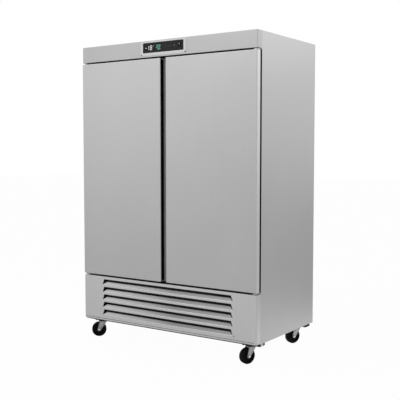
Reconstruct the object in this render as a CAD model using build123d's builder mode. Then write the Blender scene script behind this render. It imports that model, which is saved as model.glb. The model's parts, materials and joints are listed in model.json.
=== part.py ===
from build123d import *
import os
from math import cos, radians, sin

# Two-door reach-in freezer on swivel casters, in millimetres.
# +Z is up, the doors face -Y, and +X is to the right of someone facing the doors.
# The origin is on the floor, under the middle of the cabinet.

# Cabinet, outside
WIDTH = 1382.0
DEPTH = 764.0  # door fronts to the rear edges of the side panels
SHEET = 1.2  # stainless and galvanised sheet
FACE_DEPTH = 54.0  # door fronts back to the cabinet face
SIDE_FLANGE = 16.0  # the side panels turn in by this, front and back
SIDE_BEND = 4.0
TAB_WIDTH = 29.0  # tab under each side panel that hides the end of the front rail
TAB_DROP = 14.0
TAB_ROUND = 9.0
ROOF_FLANGE = 15.0
REAR_INSET = 2.0  # rear panel in from the side panels' rear edges
REAR_RECESS = 24.0  # lower rear cover, in from those edges
TRAY_FLANGE = 30.0

# Heights, stacked from the floor
CASTER_HEIGHT = 120.0
RAIL_HEIGHT = 15.0
PANEL_LIFT = 4.0  # lower front panel above the bottom of the side panels
PANEL_HEIGHT = 301.0
GAP_UNDER_DOOR = 12.0
DOOR_HEIGHT = 1434.0
GAP_OVER_DOOR = 11.0
HEADER_HEIGHT = 104.0

# Insulated box
WALL = 60.0  # outside of a side panel to the inside of the liner
BACK_WALL = 62.0
ROOF_WALL = 70.0
FLOOR_WALL = 56.0
BOX_DROP = 4.0  # box bottom below the top of the lower front panel
LINER = 1.5  # inner liner and breaker strips
JOINT = 0.3  # seam between two slabs or strips
TRIM_INSET = 1.0  # side of the cabinet to the trim beside a door
THROAT = 58.0  # depth of the door opening
OPENING_DROP = 38.0  # door top down to the top of the door opening
MULLION_WIDTH = 104.0
MULLION_ROUND = 6.0
COVER_STRIP_WIDTH = 54.0  # raised strip on the mullion, between the two gaskets
COVER_STRIP_DEPTH = 12.0
COVER_STRIP_EDGE = 2.0

# Header and lower front panel
PANEL_SETBACK = 4.0  # behind the door fronts
PANEL_CORNER = 6.0
PANEL_LIP = 30.0  # bottom return of the lower panel
LEG_SLOT = 9.0  # room for the hinge legs behind the panels' returns
LOUVRE_COUNT = 5
LOUVRE_DROP = 18.5  # panel top to the first slot
LOUVRE_PITCH = 52.1
LOUVRE_HEIGHT = 38.0
LOUVRE_MARGIN = 165.0  # side of the cabinet to the bend at the bottom of a slot
LOUVRE_END = 14.0  # each end of a slot slants in by this
BLADE_WIDTH = 24.0
BLADE_END = 28.0  # each end of a blade slants in by this
BLADE_ANGLE = 55.0  # rise of a blade from level
FILTER_SETBACK = 22.0  # air filter behind the panel's face
FILTER_DEPTH = 5.0
FILTER_SPARE = 20.0  # filter beyond the ends of the slots

# Controls
BEZEL_WIDTH = 358.0
BEZEL_HEIGHT = 90.0
BEZEL_LIFT = 9.0  # above the bottom of the header
BEZEL_ROUND = 5.0
BEZEL_EDGE = 0.8
BEZEL_DEPTH = 2.0
FASCIA_WIDTH = 321.0
FASCIA_HEIGHT = 63.0
FASCIA_LIFT = 5.0  # fascia centre above the bezel centre
FASCIA_RECESS = 5.0  # fascia front behind the door fronts
FASCIA_THICKNESS = 5.0
FASCIA_ROUND = 6.0
FASCIA_GAP = 0.5
DISPLAY_X = -108.0
DISPLAY_WIDTH = 86.0
DISPLAY_HEIGHT = 34.0
DISPLAY_THICKNESS = 2.0
DISPLAY_GAP = 0.2
KEY_FIRST_X = 20.0
KEY_PITCH = 22.0
KEY_COUNT = 3
KEY_RADIUS = 5.5
KEY_PROUD = 1.2
KEY_GAP = 0.2
KEY_FLANGE_RADIUS = 7.0
KEY_FLANGE = 1.5
KEY_POCKET = 6.0  # depth of the space behind the keys
KEY_MARGIN = 10.0  # room round the keys in that space
ROCKER_X = 132.0
ROCKER_WIDTH = 26.0
ROCKER_HEIGHT = 32.0
ROCKER_GAP = 0.5
ROCKER_TILT = 5.0
ROCKER_PIVOT = 2.5  # pivot behind the fascia front
ROCKER_WAIST = 2.6  # pivot forward to the middle of the rocker's face
ROCKER_TIP = 4.0  # pivot forward to the tips of the rocker's face
ROCKER_PIN = 1.5
ROCKER_PIN_LENGTH = 1.2
ROCKER_PIN_FIT = 0.05
CONTROLLER_WIDTH = 232.0
CONTROLLER_X = -9.0
CONTROLLER_HEIGHT = 50.0
CONTROLLER_DEPTH = 36.0

# Doors
DOOR_SPLIT = 42.0  # open gap between the two doors
DOOR_DEPTH = 36.0
DOOR_EDGE = 6.0  # round of a door's upright front edges
DOOR_FOLD = 2.0  # round of its top and bottom front edges
GRIP_LIP = 8.0  # front skin turned round the edge ahead of the grip
GRIP_DEPTH = 24.0
GRIP_END = 8.0
GRIP_WALL = 2.0
DOOR_LINER = 2.0
DOOR_LINER_INSET = 3.0
PLUG_DEPTH = 28.0
PLUG_INSET = 12.0  # plug inside the edges of the door opening
PLUG_ROUND = 24.0
PLUG_TAPER = 12.0
GASKET_WIDTH = 16.0
GASKET_BASE = 12.0
GASKET_NECK = 7.0
GASKET_BASE_DEPTH = 5.0
GASKET_NECK_DEPTH = 3.0
GASKET_ROUND = 12.0
GASKET_HINGE_INSET = 22.0  # door's hinge edge to the gasket
GASKET_GRIP_INSET = 12.0  # door's grip edge to the gasket
GASKET_END_INSET = 12.0  # door's top and bottom to the gasket
SEAL_GAP = 0.3

# Hinges
HINGE_X = 20.0  # pin axis in from the outer edge of a door
HINGE_Y = 19.0  # pin axis behind the door front
HINGE_PLATE = 5.0
HINGE_EYE = 13.0
HINGE_REACH = 25.0  # plate inward of the pin axis, at the cabinet face
HINGE_LEG = 45.0
PIN_RADIUS = 5.0
PIN_FIT = 0.05
PIN_REACH = 20.0  # pin length inside the door
BUSH_RADIUS = 9.0
BUSH_FIT = 0.1
BUSH_LENGTH = 24.0
CLOSER_LENGTH = 60.0
BORE_SPARE = 2.0  # bore beyond the end of the pin

# Casters
RAIL_WIDTH = 60.0
RAIL_WALL = 3.0
RAIL_LEAD = 11.0  # middle of the front rail ahead of the front kingpins
CASTER_SIDE = 89.0  # kingpins in from the sides of the cabinet
CASTER_FRONT = 90.0  # front kingpins behind the door fronts
CASTER_REAR = 74.0  # rear kingpins in from the rear panel
CASTER_PLATE_X = 95.0
CASTER_PLATE_Y = 70.0
CASTER_PLATE = 4.0
CASTER_PLATE_ROUND = 8.0
KINGPIN_RADIUS = 6.0
KINGPIN_HEAD = 9.0
KINGPIN_HEAD_HEIGHT = 3.0
KINGPIN_FIT = 0.05
SWIVEL_GAP = 0.5
SWIVEL_CUP = 27.0
SWIVEL_CUP_HEIGHT = 8.0
FORK_SHEET = 4.0
FORK_LENGTH = 56.0  # crown, front to back
FORK_EYE = 11.5
FORK_GAP = 2.0  # wheel hub to a fork leg
LEG_SHEET = 3.0
TRAIL = 27.0
WHEEL_RADIUS = 50.0
WHEEL_WIDTH = 32.0
TREAD_WIDTH = 24.0
WHEEL_SHOULDER = 5.0  # rim down from the tread
WHEEL_RIM = 37.0
WHEEL_WEB = 18.0
HUB_RADIUS = 14.0
HUB_WIDTH = 34.0
AXLE_RADIUS = 4.0
AXLE_FIT = 0.05
AXLE_HEAD = 7.0
AXLE_HEAD_HEIGHT = 5.0
SWIVEL_REST = {  # turn of each caster in the rest pose, about +Z
    "front_left": -48.0,
    "front_right": -25.0,
    "rear_left": -35.0,
    "rear_right": -30.0,
}

# Storage
SHELF_FIRST = 800.0  # lowest shelf above the floor
SHELF_PITCH = 310.0
SHELF_COUNT = 3
SHELF_CLEAR = 13.0  # side walls to the shelf
SHELF_SPLIT = 16.0  # between the left and right shelves
SHELF_FRONT = 18.0  # back of the mullion to the shelf
SHELF_REAR = 18.0  # rear wall to the shelf
ROD_RADIUS = 4.0
WIRE_RADIUS = 2.5
WIRE_SINK = 1.0  # weld depth of a wire in a rod
WIRE_COUNT = 17
WIRE_SIDES = 4
BRACE_PITCH = 180.0
PILASTER_WIDTH = 24.0
PILASTER_DEPTH = 9.0
PILASTER_SHEET = 1.5
PILASTER_BOTTOM = 540.0
PILASTER_HEIGHT = 1180.0
PILASTER_SLOTS = 10
PILASTER_SLOT_PITCH = 110.0
PILASTER_SLOT_WIDTH = 12.0
PILASTER_SLOT_HEIGHT = 6.0
PILASTER_FRONT = 70.0  # side pilasters behind the mullion
PILASTER_REAR = 90.0  # side pilasters ahead of the rear wall
PILASTER_MIDDLE = 24.0  # middle pilasters off the centre line
CLIP_WIDTH = 16.0
CLIP_SHEET = 3.0
CLIP_TONGUE = 17.0
CLIP_DROP = 22.0
LAMP_LENGTH = 600.0
LAMP_WIDTH = 28.0
LAMP_HEIGHT = 14.0
LAMP_SETBACK = 30.0
LAMP_ROUND = 5.0

# Cold side
COVER_WIDTH = 860.0
COVER_DEPTH = 220.0
COVER_HEIGHT = 156.0
COIL_WIDTH = 760.0
COIL_DEPTH = 100.0
COIL_HEIGHT = 118.0
COIL_SETBACK = 20.0
COIL_PLATE = 2.0
FIN_PITCH = 40.0
FIN_GROOVE = 8.0
COLD_FAN_X = 210.0
COLD_FAN_RADIUS = 68.0
COLD_FAN_SETBACK = 22.0  # fan centre behind the front of the cover
COLD_HUB = 18.0
COLD_HUB_DEPTH = 16.0
COLD_MOTOR_RADIUS = 24.0
COLD_MOTOR_DEPTH = 44.0
COLD_MOTOR_GAP = 6.0
COLD_SHAFT = 3.0
COLD_STRAP = 20.0
STRAP_SHEET = 3.0
GUARD_SLOTS = 12
GUARD_SLOT_LENGTH = 46.0
GUARD_SLOT_WIDTH = 9.0
GUARD_RADIUS = 45.0

# Machine compartment
CONDENSER_SIDE = 471.0  # middle of the condenser in from the left side
CONDENSER_WIDTH = 460.0
CONDENSER_DEPTH = 66.0
CONDENSER_HEIGHT = 230.0
CONDENSER_LIFT = 14.0
CONDENSER_SETBACK = 28.0  # behind the cabinet face
CONDENSER_PLATE = 2.0
BEND_COUNT = 4
BEND_RADIUS = 16.0
BEND_PIPE = 5.0
SHROUD_DEPTH = 44.0
SHROUD_HOLE = 104.0
FAN_RADIUS = 98.0
FAN_HUB = 28.0
FAN_HUB_DEPTH = 24.0
FAN_BLADES = 5
FAN_PITCH = 28.0
FAN_SHEET = 2.0
FAN_SETBACK = 7.0  # fan centre behind the shroud
MOTOR_RADIUS = 32.0
MOTOR_DEPTH = 60.0
MOTOR_GAP = 5.0
MOTOR_SHAFT = 4.0
SHAFT_FIT = 0.05
SHAFT_SPARE = 2.0
SPIDER_RADIUS = 112.0
SPIDER_BAR = 14.0
SPIDER_SHEET = 4.0
SPIDER_POST = 4.0
COMPRESSOR_SIDE = 341.0  # compressor axis in from the right side
COMPRESSOR_Y = 150.0
COMPRESSOR_RADIUS = 78.0
COMPRESSOR_SEAM = 4.0
COMPRESSOR_HEIGHT = 170.0
COMPRESSOR_DOME = 62.0
DOME_ANGLES = (0, 25, 50, 75)  # where the dome's rings lie
COMPRESSOR_PLATE_X = 220.0
COMPRESSOR_PLATE_Y = 130.0
COMPRESSOR_PLATE = 4.0
GROMMET_HEIGHT = 12.0
GROMMET_RADIUS = 13.0
GROMMET_INSET = 16.0
PIPE_RADIUS = 5.0
PIPE_BEND = 25.0
TUBE_SIDES = 6
SUCTION_OFFSET = 40.0
SUCTION_STUB = 20.0
DISCHARGE_LIFT = 110.0  # discharge line above the tray
LIQUID_LIFT = 40.0
LIQUID_RUN = 230.0
DRIER_RADIUS = 11.0
DRIER_START = 48.0
DRIER_LENGTH = 100.0
DRAIN_SIDE = 361.0  # middle of the drain pan in from the left side
DRAIN_WIDTH = 520.0
DRAIN_DEPTH = 220.0
DRAIN_HEIGHT = 40.0
DRAIN_SETBACK = 60.0  # ahead of the lower rear cover
DRAIN_ROUND = 12.0
BOX_SIDE = 131.0  # middle of the electrical box in from the right side
BOX_WIDTH = 120.0
BOX_DEPTH = 90.0
BOX_HEIGHT = 160.0
BOX_SETBACK = 28.0
BOX_ROUND = 4.0
GLAND_LIFT = 64.0
GLAND_RADIUS = 10.0
GLAND_NUT = 14.0
GLAND_NUT_DEPTH = 6.0
GLAND_PROUD = 18.0
GLAND_FIT = 0.2
REAR_SLOT_LENGTH = 80.0
REAR_SLOT_DROP = 30.0  # top of the cover to the slots
REAR_SLOT_WIDTH = 10.0
REAR_SLOT_PITCH = 40.0
REAR_SLOT_COUNT = 22
REAR_SLOT_X = -80.0

# Places worked out from the sizes above
HALF = WIDTH / 2
FRONT = -DEPTH / 2
BACK = DEPTH / 2
FACE = FRONT + FACE_DEPTH
PANEL_REAR = BACK - REAR_INSET
PANEL_FRONT = FRONT + PANEL_SETBACK
INNER_HALF = HALF - SIDE_FLANGE
CABINET_BOTTOM = CASTER_HEIGHT + RAIL_HEIGHT
TRAY_TOP = CABINET_BOTTOM + SHEET
PANEL_BOTTOM = CABINET_BOTTOM + PANEL_LIFT
PANEL_TOP = PANEL_BOTTOM + PANEL_HEIGHT
DOOR_BOTTOM = PANEL_TOP + GAP_UNDER_DOOR
DOOR_TOP = DOOR_BOTTOM + DOOR_HEIGHT
HEADER_BOTTOM = DOOR_TOP + GAP_OVER_DOOR
TOP = HEADER_BOTTOM + HEADER_HEIGHT
STRIP_TOP = TOP - ROOF_FLANGE
BOX_BOTTOM = PANEL_TOP - BOX_DROP
CAVITY_HALF = HALF - WALL
CAVITY_BACK = BACK - BACK_WALL
CAVITY_FLOOR = BOX_BOTTOM + FLOOR_WALL
CAVITY_TOP = TOP - ROOF_WALL
THROAT_BACK = FACE + THROAT
OPENING_TOP = DOOR_TOP - OPENING_DROP
DOOR_IN = DOOR_SPLIT / 2
DOOR_REAR = FRONT + DOOR_DEPTH
PIN_X = HALF - HINGE_X
PIN_Y = FRONT + HINGE_Y
BEZEL_Z = HEADER_BOTTOM + BEZEL_LIFT + BEZEL_HEIGHT / 2
CONTROL_Z = BEZEL_Z + FASCIA_LIFT
FASCIA_FRONT = FRONT + FASCIA_RECESS
FASCIA_REAR = FASCIA_FRONT + FASCIA_THICKNESS
KEY_PLACES = [KEY_FIRST_X + i * KEY_PITCH for i in range(KEY_COUNT)]
REAR_COVER_FRONT = BACK - REAR_RECESS
PLATE_BOTTOM = CASTER_HEIGHT - CASTER_PLATE
CUP_BOTTOM = PLATE_BOTTOM - SWIVEL_GAP - SWIVEL_CUP_HEIGHT
CROWN_BOTTOM = CUP_BOTTOM - FORK_SHEET
FORK_INSIDE = HUB_WIDTH / 2 + FORK_GAP
FORK_OUTSIDE = FORK_INSIDE + LEG_SHEET
CASTER_X = HALF - CASTER_SIDE
CASTER_FRONT_Y = FRONT + CASTER_FRONT
CASTER_REAR_Y = BACK - CASTER_REAR
RAIL_PLACES = (CASTER_FRONT_Y - RAIL_LEAD, CASTER_REAR_Y)
CASTER_PLACES = {
    "front_left": (-CASTER_X, CASTER_FRONT_Y),
    "front_right": (CASTER_X, CASTER_FRONT_Y),
    "rear_left": (-CASTER_X, CASTER_REAR_Y),
    "rear_right": (CASTER_X, CASTER_REAR_Y),
}
SHELF_LEVELS = [SHELF_FIRST + i * SHELF_PITCH for i in range(SHELF_COUNT)]
COVER_FRONT = CAVITY_BACK - COVER_DEPTH
COLD_FAN_Y = COVER_FRONT + COLD_FAN_SETBACK
COLD_FAN_Z = CAVITY_TOP - COVER_HEIGHT / 2
CONDENSER_X = CONDENSER_SIDE - HALF
COMPRESSOR_X = HALF - COMPRESSOR_SIDE
DRAIN_X = DRAIN_SIDE - HALF
BOX_X = HALF - BOX_SIDE
CONDENSER_FRONT = FACE + CONDENSER_SETBACK
CONDENSER_REAR = CONDENSER_FRONT + CONDENSER_DEPTH
CONDENSER_BOTTOM = TRAY_TOP + CONDENSER_LIFT
CONDENSER_Z = CONDENSER_BOTTOM + CONDENSER_HEIGHT / 2
CONDENSER_END = CONDENSER_X + CONDENSER_WIDTH / 2 + CONDENSER_PLATE
SHROUD_REAR = CONDENSER_REAR + SHROUD_DEPTH
FAN_Y = SHROUD_REAR + FAN_SETBACK

os.makedirs("parts", exist_ok=True)


def save(piece, name):
    """Label a finished piece and write it as its own file."""
    piece.part.label = name
    export_step(piece.part, f"parts/{name}.step")


def block(x, y, z, mode=Mode.ADD):
    """Add or cut a box that runs between two values on each axis."""
    with Locations(((x[0] + x[1]) / 2, (y[0] + y[1]) / 2, (z[0] + z[1]) / 2)):
        Box(x[1] - x[0], y[1] - y[0], z[1] - z[0], mode=mode)


def upright(x, y, z, radius, mode=Mode.ADD):
    """Add or cut a vertical cylinder between two heights."""
    with Locations((x, y, (z[0] + z[1]) / 2)):
        Cylinder(radius, z[1] - z[0], mode=mode)


def level(x, y, z, radius, mode=Mode.ADD):
    """Add or cut a cylinder along Y between two depths."""
    with Locations((x, (y[0] + y[1]) / 2, z)):
        Cylinder(radius, y[1] - y[0], rotation=(90, 0, 0), mode=mode)


def facing_front(y):
    """A sketch plane across the front, with X to the right and Z up. Its normal is -Y."""
    return Plane.XZ.offset(-y)


def mirrored(piece):
    """The same piece on the other side of the cabinet's middle."""
    with BuildPart() as other:
        mirror(piece.part, about=Plane.YZ)
    return other


# Side panels: one sheet each, turned in at the front and the back, with a tab at the foot
with BuildPart() as right_side_panel:
    with BuildSketch(Plane.XY.offset(CABINET_BOTTOM)) as profile:
        with Locations((HALF - SIDE_FLANGE / 2, (FACE + BACK) / 2)):
            Rectangle(SIDE_FLANGE, BACK - FACE)
        with Locations((HALF - SHEET - SIDE_FLANGE / 2, (FACE + BACK) / 2)):
            Rectangle(SIDE_FLANGE, BACK - FACE - 2 * SHEET, mode=Mode.SUBTRACT)
        fillet(profile.vertices().sort_by_distance((HALF, FACE))[0], SIDE_BEND)
        inner_corner = (HALF - SHEET, FACE + SHEET)
        fillet(profile.vertices().sort_by_distance(inner_corner)[0], SIDE_BEND - SHEET)
    extrude(amount=TOP - SHEET - CABINET_BOTTOM)
    tab_front = FACE + SIDE_BEND
    with BuildSketch(Plane.YZ.offset(HALF - SHEET)) as tab:
        with Locations((tab_front + TAB_WIDTH / 2, CABINET_BOTTOM - TAB_DROP / 2)):
            Rectangle(TAB_WIDTH, TAB_DROP)
        fillet(tab.vertices().group_by(Axis.Y)[0], TAB_ROUND)
    extrude(amount=SHEET)
save(right_side_panel, "right_side_panel")
save(mirrored(right_side_panel), "left_side_panel")

# Roof: a sheet with its front and rear edges turned down
with BuildPart() as roof_panel:
    block((-HALF, HALF), (FACE, BACK), (TOP - SHEET, TOP))
    for flange_y in (FACE, BACK - SHEET):
        block((-INNER_HALF, INNER_HALF), (flange_y, flange_y + SHEET), (STRIP_TOP, TOP - SHEET))
save(roof_panel, "roof_panel")

with BuildPart() as rear_panel:
    block((-INNER_HALF, INNER_HALF), (PANEL_REAR - SHEET, PANEL_REAR), (BOX_BOTTOM, STRIP_TOP))
save(rear_panel, "rear_panel")

# Lower rear cover: a shallow pan with upright air slots and the hole for the cord gland
with BuildPart() as rear_grille:
    block((-INNER_HALF, INNER_HALF), (REAR_COVER_FRONT, BACK), (TRAY_TOP, BOX_BOTTOM))
    offset(amount=-SHEET, openings=rear_grille.faces().sort_by(Axis.Y)[-1])
    with BuildSketch(facing_front(REAR_COVER_FRONT)):
        with Locations((REAR_SLOT_X, BOX_BOTTOM - REAR_SLOT_DROP - REAR_SLOT_LENGTH / 2)):
            with GridLocations(REAR_SLOT_PITCH, 1, REAR_SLOT_COUNT, 1):
                Rectangle(REAR_SLOT_WIDTH, REAR_SLOT_LENGTH)
    extrude(amount=-2 * SHEET, mode=Mode.SUBTRACT)
    level(BOX_X, (REAR_COVER_FRONT, REAR_COVER_FRONT + 2 * SHEET), TRAY_TOP + GLAND_LIFT,
          GLAND_RADIUS + GLAND_FIT, mode=Mode.SUBTRACT)
save(rear_grille, "rear_grille")

# Base tray: the floor of the machine compartment, turned up at the front and the back
with BuildPart() as base_tray:
    tray_front = FACE + SHEET
    block((-HALF + SHEET, HALF - SHEET), (tray_front, REAR_COVER_FRONT), (CABINET_BOTTOM, TRAY_TOP))
    fillet(base_tray.edges().filter_by(Axis.Z).group_by(Axis.Y)[0], SIDE_BEND)
    block((-INNER_HALF, INNER_HALF), (tray_front, tray_front + SHEET),
          (TRAY_TOP, TRAY_TOP + TRAY_FLANGE))
    block((-INNER_HALF, INNER_HALF), (REAR_COVER_FRONT - SHEET, REAR_COVER_FRONT),
          (TRAY_TOP, TRAY_TOP + TRAY_FLANGE))
save(base_tray, "base_tray")

# Cross rails: two open channels under the tray, which carry the casters
with BuildPart() as caster_rails:
    with BuildSketch(Plane.YZ) as channel:
        rail_z = CASTER_HEIGHT + RAIL_HEIGHT / 2
        with Locations([(y, rail_z) for y in RAIL_PLACES]):
            Rectangle(RAIL_WIDTH, RAIL_HEIGHT)
        with Locations([(y, rail_z + RAIL_WALL) for y in RAIL_PLACES]):
            Rectangle(RAIL_WIDTH - 2 * RAIL_WALL, RAIL_HEIGHT, mode=Mode.SUBTRACT)
    extrude(amount=HALF - SHEET, both=True)
save(caster_rails, "caster_rails")

# Foam: slabs round the cold space, with a hair seam where two of them meet
with BuildPart() as insulation:
    foam_half = CAVITY_HALF - JOINT
    foam_front = FACE + LINER
    foam_back = PANEL_REAR - SHEET
    foam_top = TOP - SHEET
    for side in (-1, 1):
        edges = sorted((side * (CAVITY_HALF + LINER), side * (HALF - SHEET)))
        block(edges, (foam_front, foam_back), (BOX_BOTTOM, foam_top))
    for end in (0, -1):
        corners = insulation.edges().filter_by(Axis.Z).group_by(Axis.X)[end]
        fillet(corners.sort_by(Axis.Y)[0], SIDE_BEND)
    block((-foam_half, foam_half), (CAVITY_BACK + LINER, foam_back), (BOX_BOTTOM, foam_top))
    block((-foam_half, foam_half), (foam_front, CAVITY_BACK + LINER - JOINT),
          (BOX_BOTTOM, CAVITY_FLOOR - LINER))
    block((-foam_half, foam_half), (THROAT_BACK - LINER + JOINT, CAVITY_BACK + LINER - JOINT),
          (CAVITY_TOP + LINER, foam_top))
    block((-foam_half, foam_half), (foam_front, THROAT_BACK - LINER), (OPENING_TOP + LINER, foam_top))
save(insulation, "insulation")

# Inner liner: the lining of the cold space, open to the doors under the front rail
with BuildPart() as inner_liner:
    block((-CAVITY_HALF - LINER, CAVITY_HALF + LINER), (THROAT_BACK - LINER, CAVITY_BACK + LINER),
          (CAVITY_FLOOR - LINER, CAVITY_TOP + LINER))
    block((-CAVITY_HALF, CAVITY_HALF), (THROAT_BACK, CAVITY_BACK), (CAVITY_FLOOR, CAVITY_TOP),
          mode=Mode.SUBTRACT)
    block((-CAVITY_HALF, CAVITY_HALF), (THROAT_BACK - 2 * LINER, THROAT_BACK),
          (CAVITY_FLOOR, OPENING_TOP), mode=Mode.SUBTRACT)
save(inner_liner, "inner_liner")

# Breaker strips: angle sections that cover the cabinet face and line the door opening, and a flat
# trim on the turned-in edge of each side panel, beside the door
with BuildPart() as breaker_strips:
    for side in (-1, 1):
        with BuildSketch(Plane.XY.offset(BOX_BOTTOM)):
            with Locations((side * (CAVITY_HALF + INNER_HALF) / 2, FACE + LINER / 2)):
                Rectangle(INNER_HALF - CAVITY_HALF, LINER)
            with Locations((side * (CAVITY_HALF + LINER / 2), (FACE + THROAT_BACK - LINER) / 2)):
                Rectangle(LINER, THROAT_BACK - LINER - FACE)
        extrude(amount=STRIP_TOP - BOX_BOTTOM)
        trim_x = sorted((side * (HALF - GASKET_HINGE_INSET + JOINT), side * (HALF - TRIM_INSET)))
        block(trim_x, (FACE - LINER, FACE), (DOOR_BOTTOM, DOOR_TOP))
    for low, high, lining in (
        (BOX_BOTTOM, CAVITY_FLOOR, CAVITY_FLOOR - LINER / 2),
        (OPENING_TOP, STRIP_TOP, OPENING_TOP + LINER / 2),
    ):
        with BuildSketch(Plane.YZ):
            with Locations((FACE + LINER / 2, (low + high) / 2)):
                Rectangle(LINER, high - low)
            with Locations(((FACE + THROAT_BACK - LINER) / 2, lining)):
                Rectangle(THROAT_BACK - LINER - FACE, LINER)
        extrude(amount=CAVITY_HALF - JOINT, both=True)
save(breaker_strips, "breaker_strips")

# Mullion: the post between the two bays, and the raised strip on its face that shows between the doors
with BuildPart() as centre_mullion:
    block((-MULLION_WIDTH / 2, MULLION_WIDTH / 2), (FACE, THROAT_BACK), (CAVITY_FLOOR, OPENING_TOP))
    fillet(centre_mullion.edges().filter_by(Axis.Z).group_by(Axis.Y)[-1], MULLION_ROUND)
    block((-COVER_STRIP_WIDTH / 2, COVER_STRIP_WIDTH / 2), (FACE - COVER_STRIP_DEPTH, FACE - JOINT),
          (DOOR_BOTTOM, DOOR_TOP))
    chamfer(centre_mullion.edges().filter_by(Axis.Z).group_by(Axis.Y)[0], COVER_STRIP_EDGE)
save(centre_mullion, "centre_mullion")

# Header: a shell over the doors, with the window for the controls
with BuildPart() as header_panel:
    block((-HALF, HALF), (PANEL_FRONT, FACE), (HEADER_BOTTOM, TOP))
    fillet(header_panel.edges().filter_by(Axis.Z).group_by(Axis.Y)[0], PANEL_CORNER)
    offset(amount=-SHEET, openings=header_panel.faces().sort_by(Axis.Y)[-1])
    block((-HALF + SHEET, HALF - SHEET), (FACE - LEG_SLOT, FACE),
          (HEADER_BOTTOM, HEADER_BOTTOM + SHEET), mode=Mode.SUBTRACT)
    with BuildSketch(facing_front(PANEL_FRONT)):
        with Locations((0, CONTROL_Z)):
            RectangleRounded(FASCIA_WIDTH + 2 * FASCIA_GAP, FASCIA_HEIGHT + 2 * FASCIA_GAP,
                             FASCIA_ROUND)
    extrude(amount=-2 * SHEET, mode=Mode.SUBTRACT)
save(header_panel, "header_panel")

# Lower front panel: a shell with slots lanced in its face, each blade bent in along its lower edge
with BuildPart() as front_grille:
    block((-HALF, HALF), (PANEL_FRONT, FACE), (PANEL_BOTTOM, PANEL_TOP))
    fillet(front_grille.edges().filter_by(Axis.Z).group_by(Axis.Y)[0], PANEL_CORNER)
    offset(amount=-SHEET, openings=front_grille.faces().sort_by(Axis.Y)[-1])
    block((-HALF + SHEET, HALF - SHEET), (FACE - LEG_SLOT, FACE), (PANEL_TOP - SHEET, PANEL_TOP),
          mode=Mode.SUBTRACT)
    block((-HALF + SHEET, HALF - SHEET), (PANEL_FRONT + PANEL_LIP, FACE),
          (PANEL_BOTTOM, PANEL_BOTTOM + SHEET), mode=Mode.SUBTRACT)
    long_edge = HALF - LOUVRE_MARGIN
    short_edge = long_edge - LOUVRE_END
    lean = (0, cos(radians(BLADE_ANGLE)), sin(radians(BLADE_ANGLE)))
    for i in range(LOUVRE_COUNT):
        slot_top = PANEL_TOP - LOUVRE_DROP - i * LOUVRE_PITCH
        slot_bottom = slot_top - LOUVRE_HEIGHT
        with BuildSketch(facing_front(PANEL_FRONT)):
            Polygon((-long_edge, slot_bottom), (long_edge, slot_bottom), (short_edge, slot_top),
                    (-short_edge, slot_top), align=None)
        extrude(amount=-2 * SHEET, mode=Mode.SUBTRACT)
        bend = Plane(origin=(0, PANEL_FRONT, slot_bottom), x_dir=(1, 0, 0),
                     z_dir=(0, -lean[2], lean[1]))
        with BuildSketch(bend):
            blade_top = long_edge - BLADE_END
            Polygon((-long_edge, 0), (long_edge, 0), (blade_top, BLADE_WIDTH),
                    (-blade_top, BLADE_WIDTH), align=None)
        extrude(amount=-SHEET)
save(front_grille, "front_grille")

# Air filter: a flat pad that stands on the bottom return of the lower panel, behind the slots
with BuildPart() as air_filter:
    filter_half = HALF - LOUVRE_MARGIN + FILTER_SPARE
    filter_front = PANEL_FRONT + FILTER_SETBACK
    block((-filter_half, filter_half), (filter_front, filter_front + FILTER_DEPTH),
          (PANEL_BOTTOM + SHEET + JOINT, PANEL_TOP - SHEET - JOINT))
save(air_filter, "air_filter")

# Controls
with BuildPart() as control_bezel:
    with BuildSketch(facing_front(PANEL_FRONT)):
        with Locations((0, BEZEL_Z)):
            RectangleRounded(BEZEL_WIDTH, BEZEL_HEIGHT, BEZEL_ROUND)
        with Locations((0, CONTROL_Z)):
            RectangleRounded(FASCIA_WIDTH + 2 * FASCIA_GAP, FASCIA_HEIGHT + 2 * FASCIA_GAP,
                             FASCIA_ROUND, mode=Mode.SUBTRACT)
    extrude(amount=BEZEL_DEPTH)
    chamfer(control_bezel.faces().sort_by(Axis.Y)[0].edges(), BEZEL_EDGE)
save(control_bezel, "control_bezel")

with BuildPart() as control_fascia:
    with BuildSketch(facing_front(FASCIA_REAR)):
        with Locations((0, CONTROL_Z)):
            RectangleRounded(FASCIA_WIDTH, FASCIA_HEIGHT, FASCIA_ROUND)
        with Locations([(x, CONTROL_Z) for x in KEY_PLACES]):
            Circle(KEY_RADIUS + KEY_GAP, mode=Mode.SUBTRACT)
        with Locations((ROCKER_X, CONTROL_Z)):
            Rectangle(ROCKER_WIDTH + 2 * ROCKER_GAP, ROCKER_HEIGHT + 2 * ROCKER_GAP,
                      mode=Mode.SUBTRACT)
    extrude(amount=FASCIA_THICKNESS)
    with BuildSketch(facing_front(FASCIA_FRONT)):
        with Locations((DISPLAY_X, CONTROL_Z)):
            Rectangle(DISPLAY_WIDTH + 2 * DISPLAY_GAP, DISPLAY_HEIGHT + 2 * DISPLAY_GAP)
    extrude(amount=-DISPLAY_THICKNESS, mode=Mode.SUBTRACT)
    pin_hole = ROCKER_WIDTH / 2 + ROCKER_GAP + ROCKER_PIN_LENGTH
    with Locations((ROCKER_X, FASCIA_FRONT + ROCKER_PIVOT, CONTROL_Z)):
        Cylinder(ROCKER_PIN + ROCKER_PIN_FIT, 2 * pin_hole, rotation=(0, 90, 0), mode=Mode.SUBTRACT)
save(control_fascia, "control_fascia")

with BuildPart() as display_window:
    with BuildSketch(facing_front(FASCIA_FRONT)):
        with Locations((DISPLAY_X, CONTROL_Z)):
            Rectangle(DISPLAY_WIDTH, DISPLAY_HEIGHT)
    extrude(amount=-DISPLAY_THICKNESS)
save(display_window, "display_window")

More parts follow.
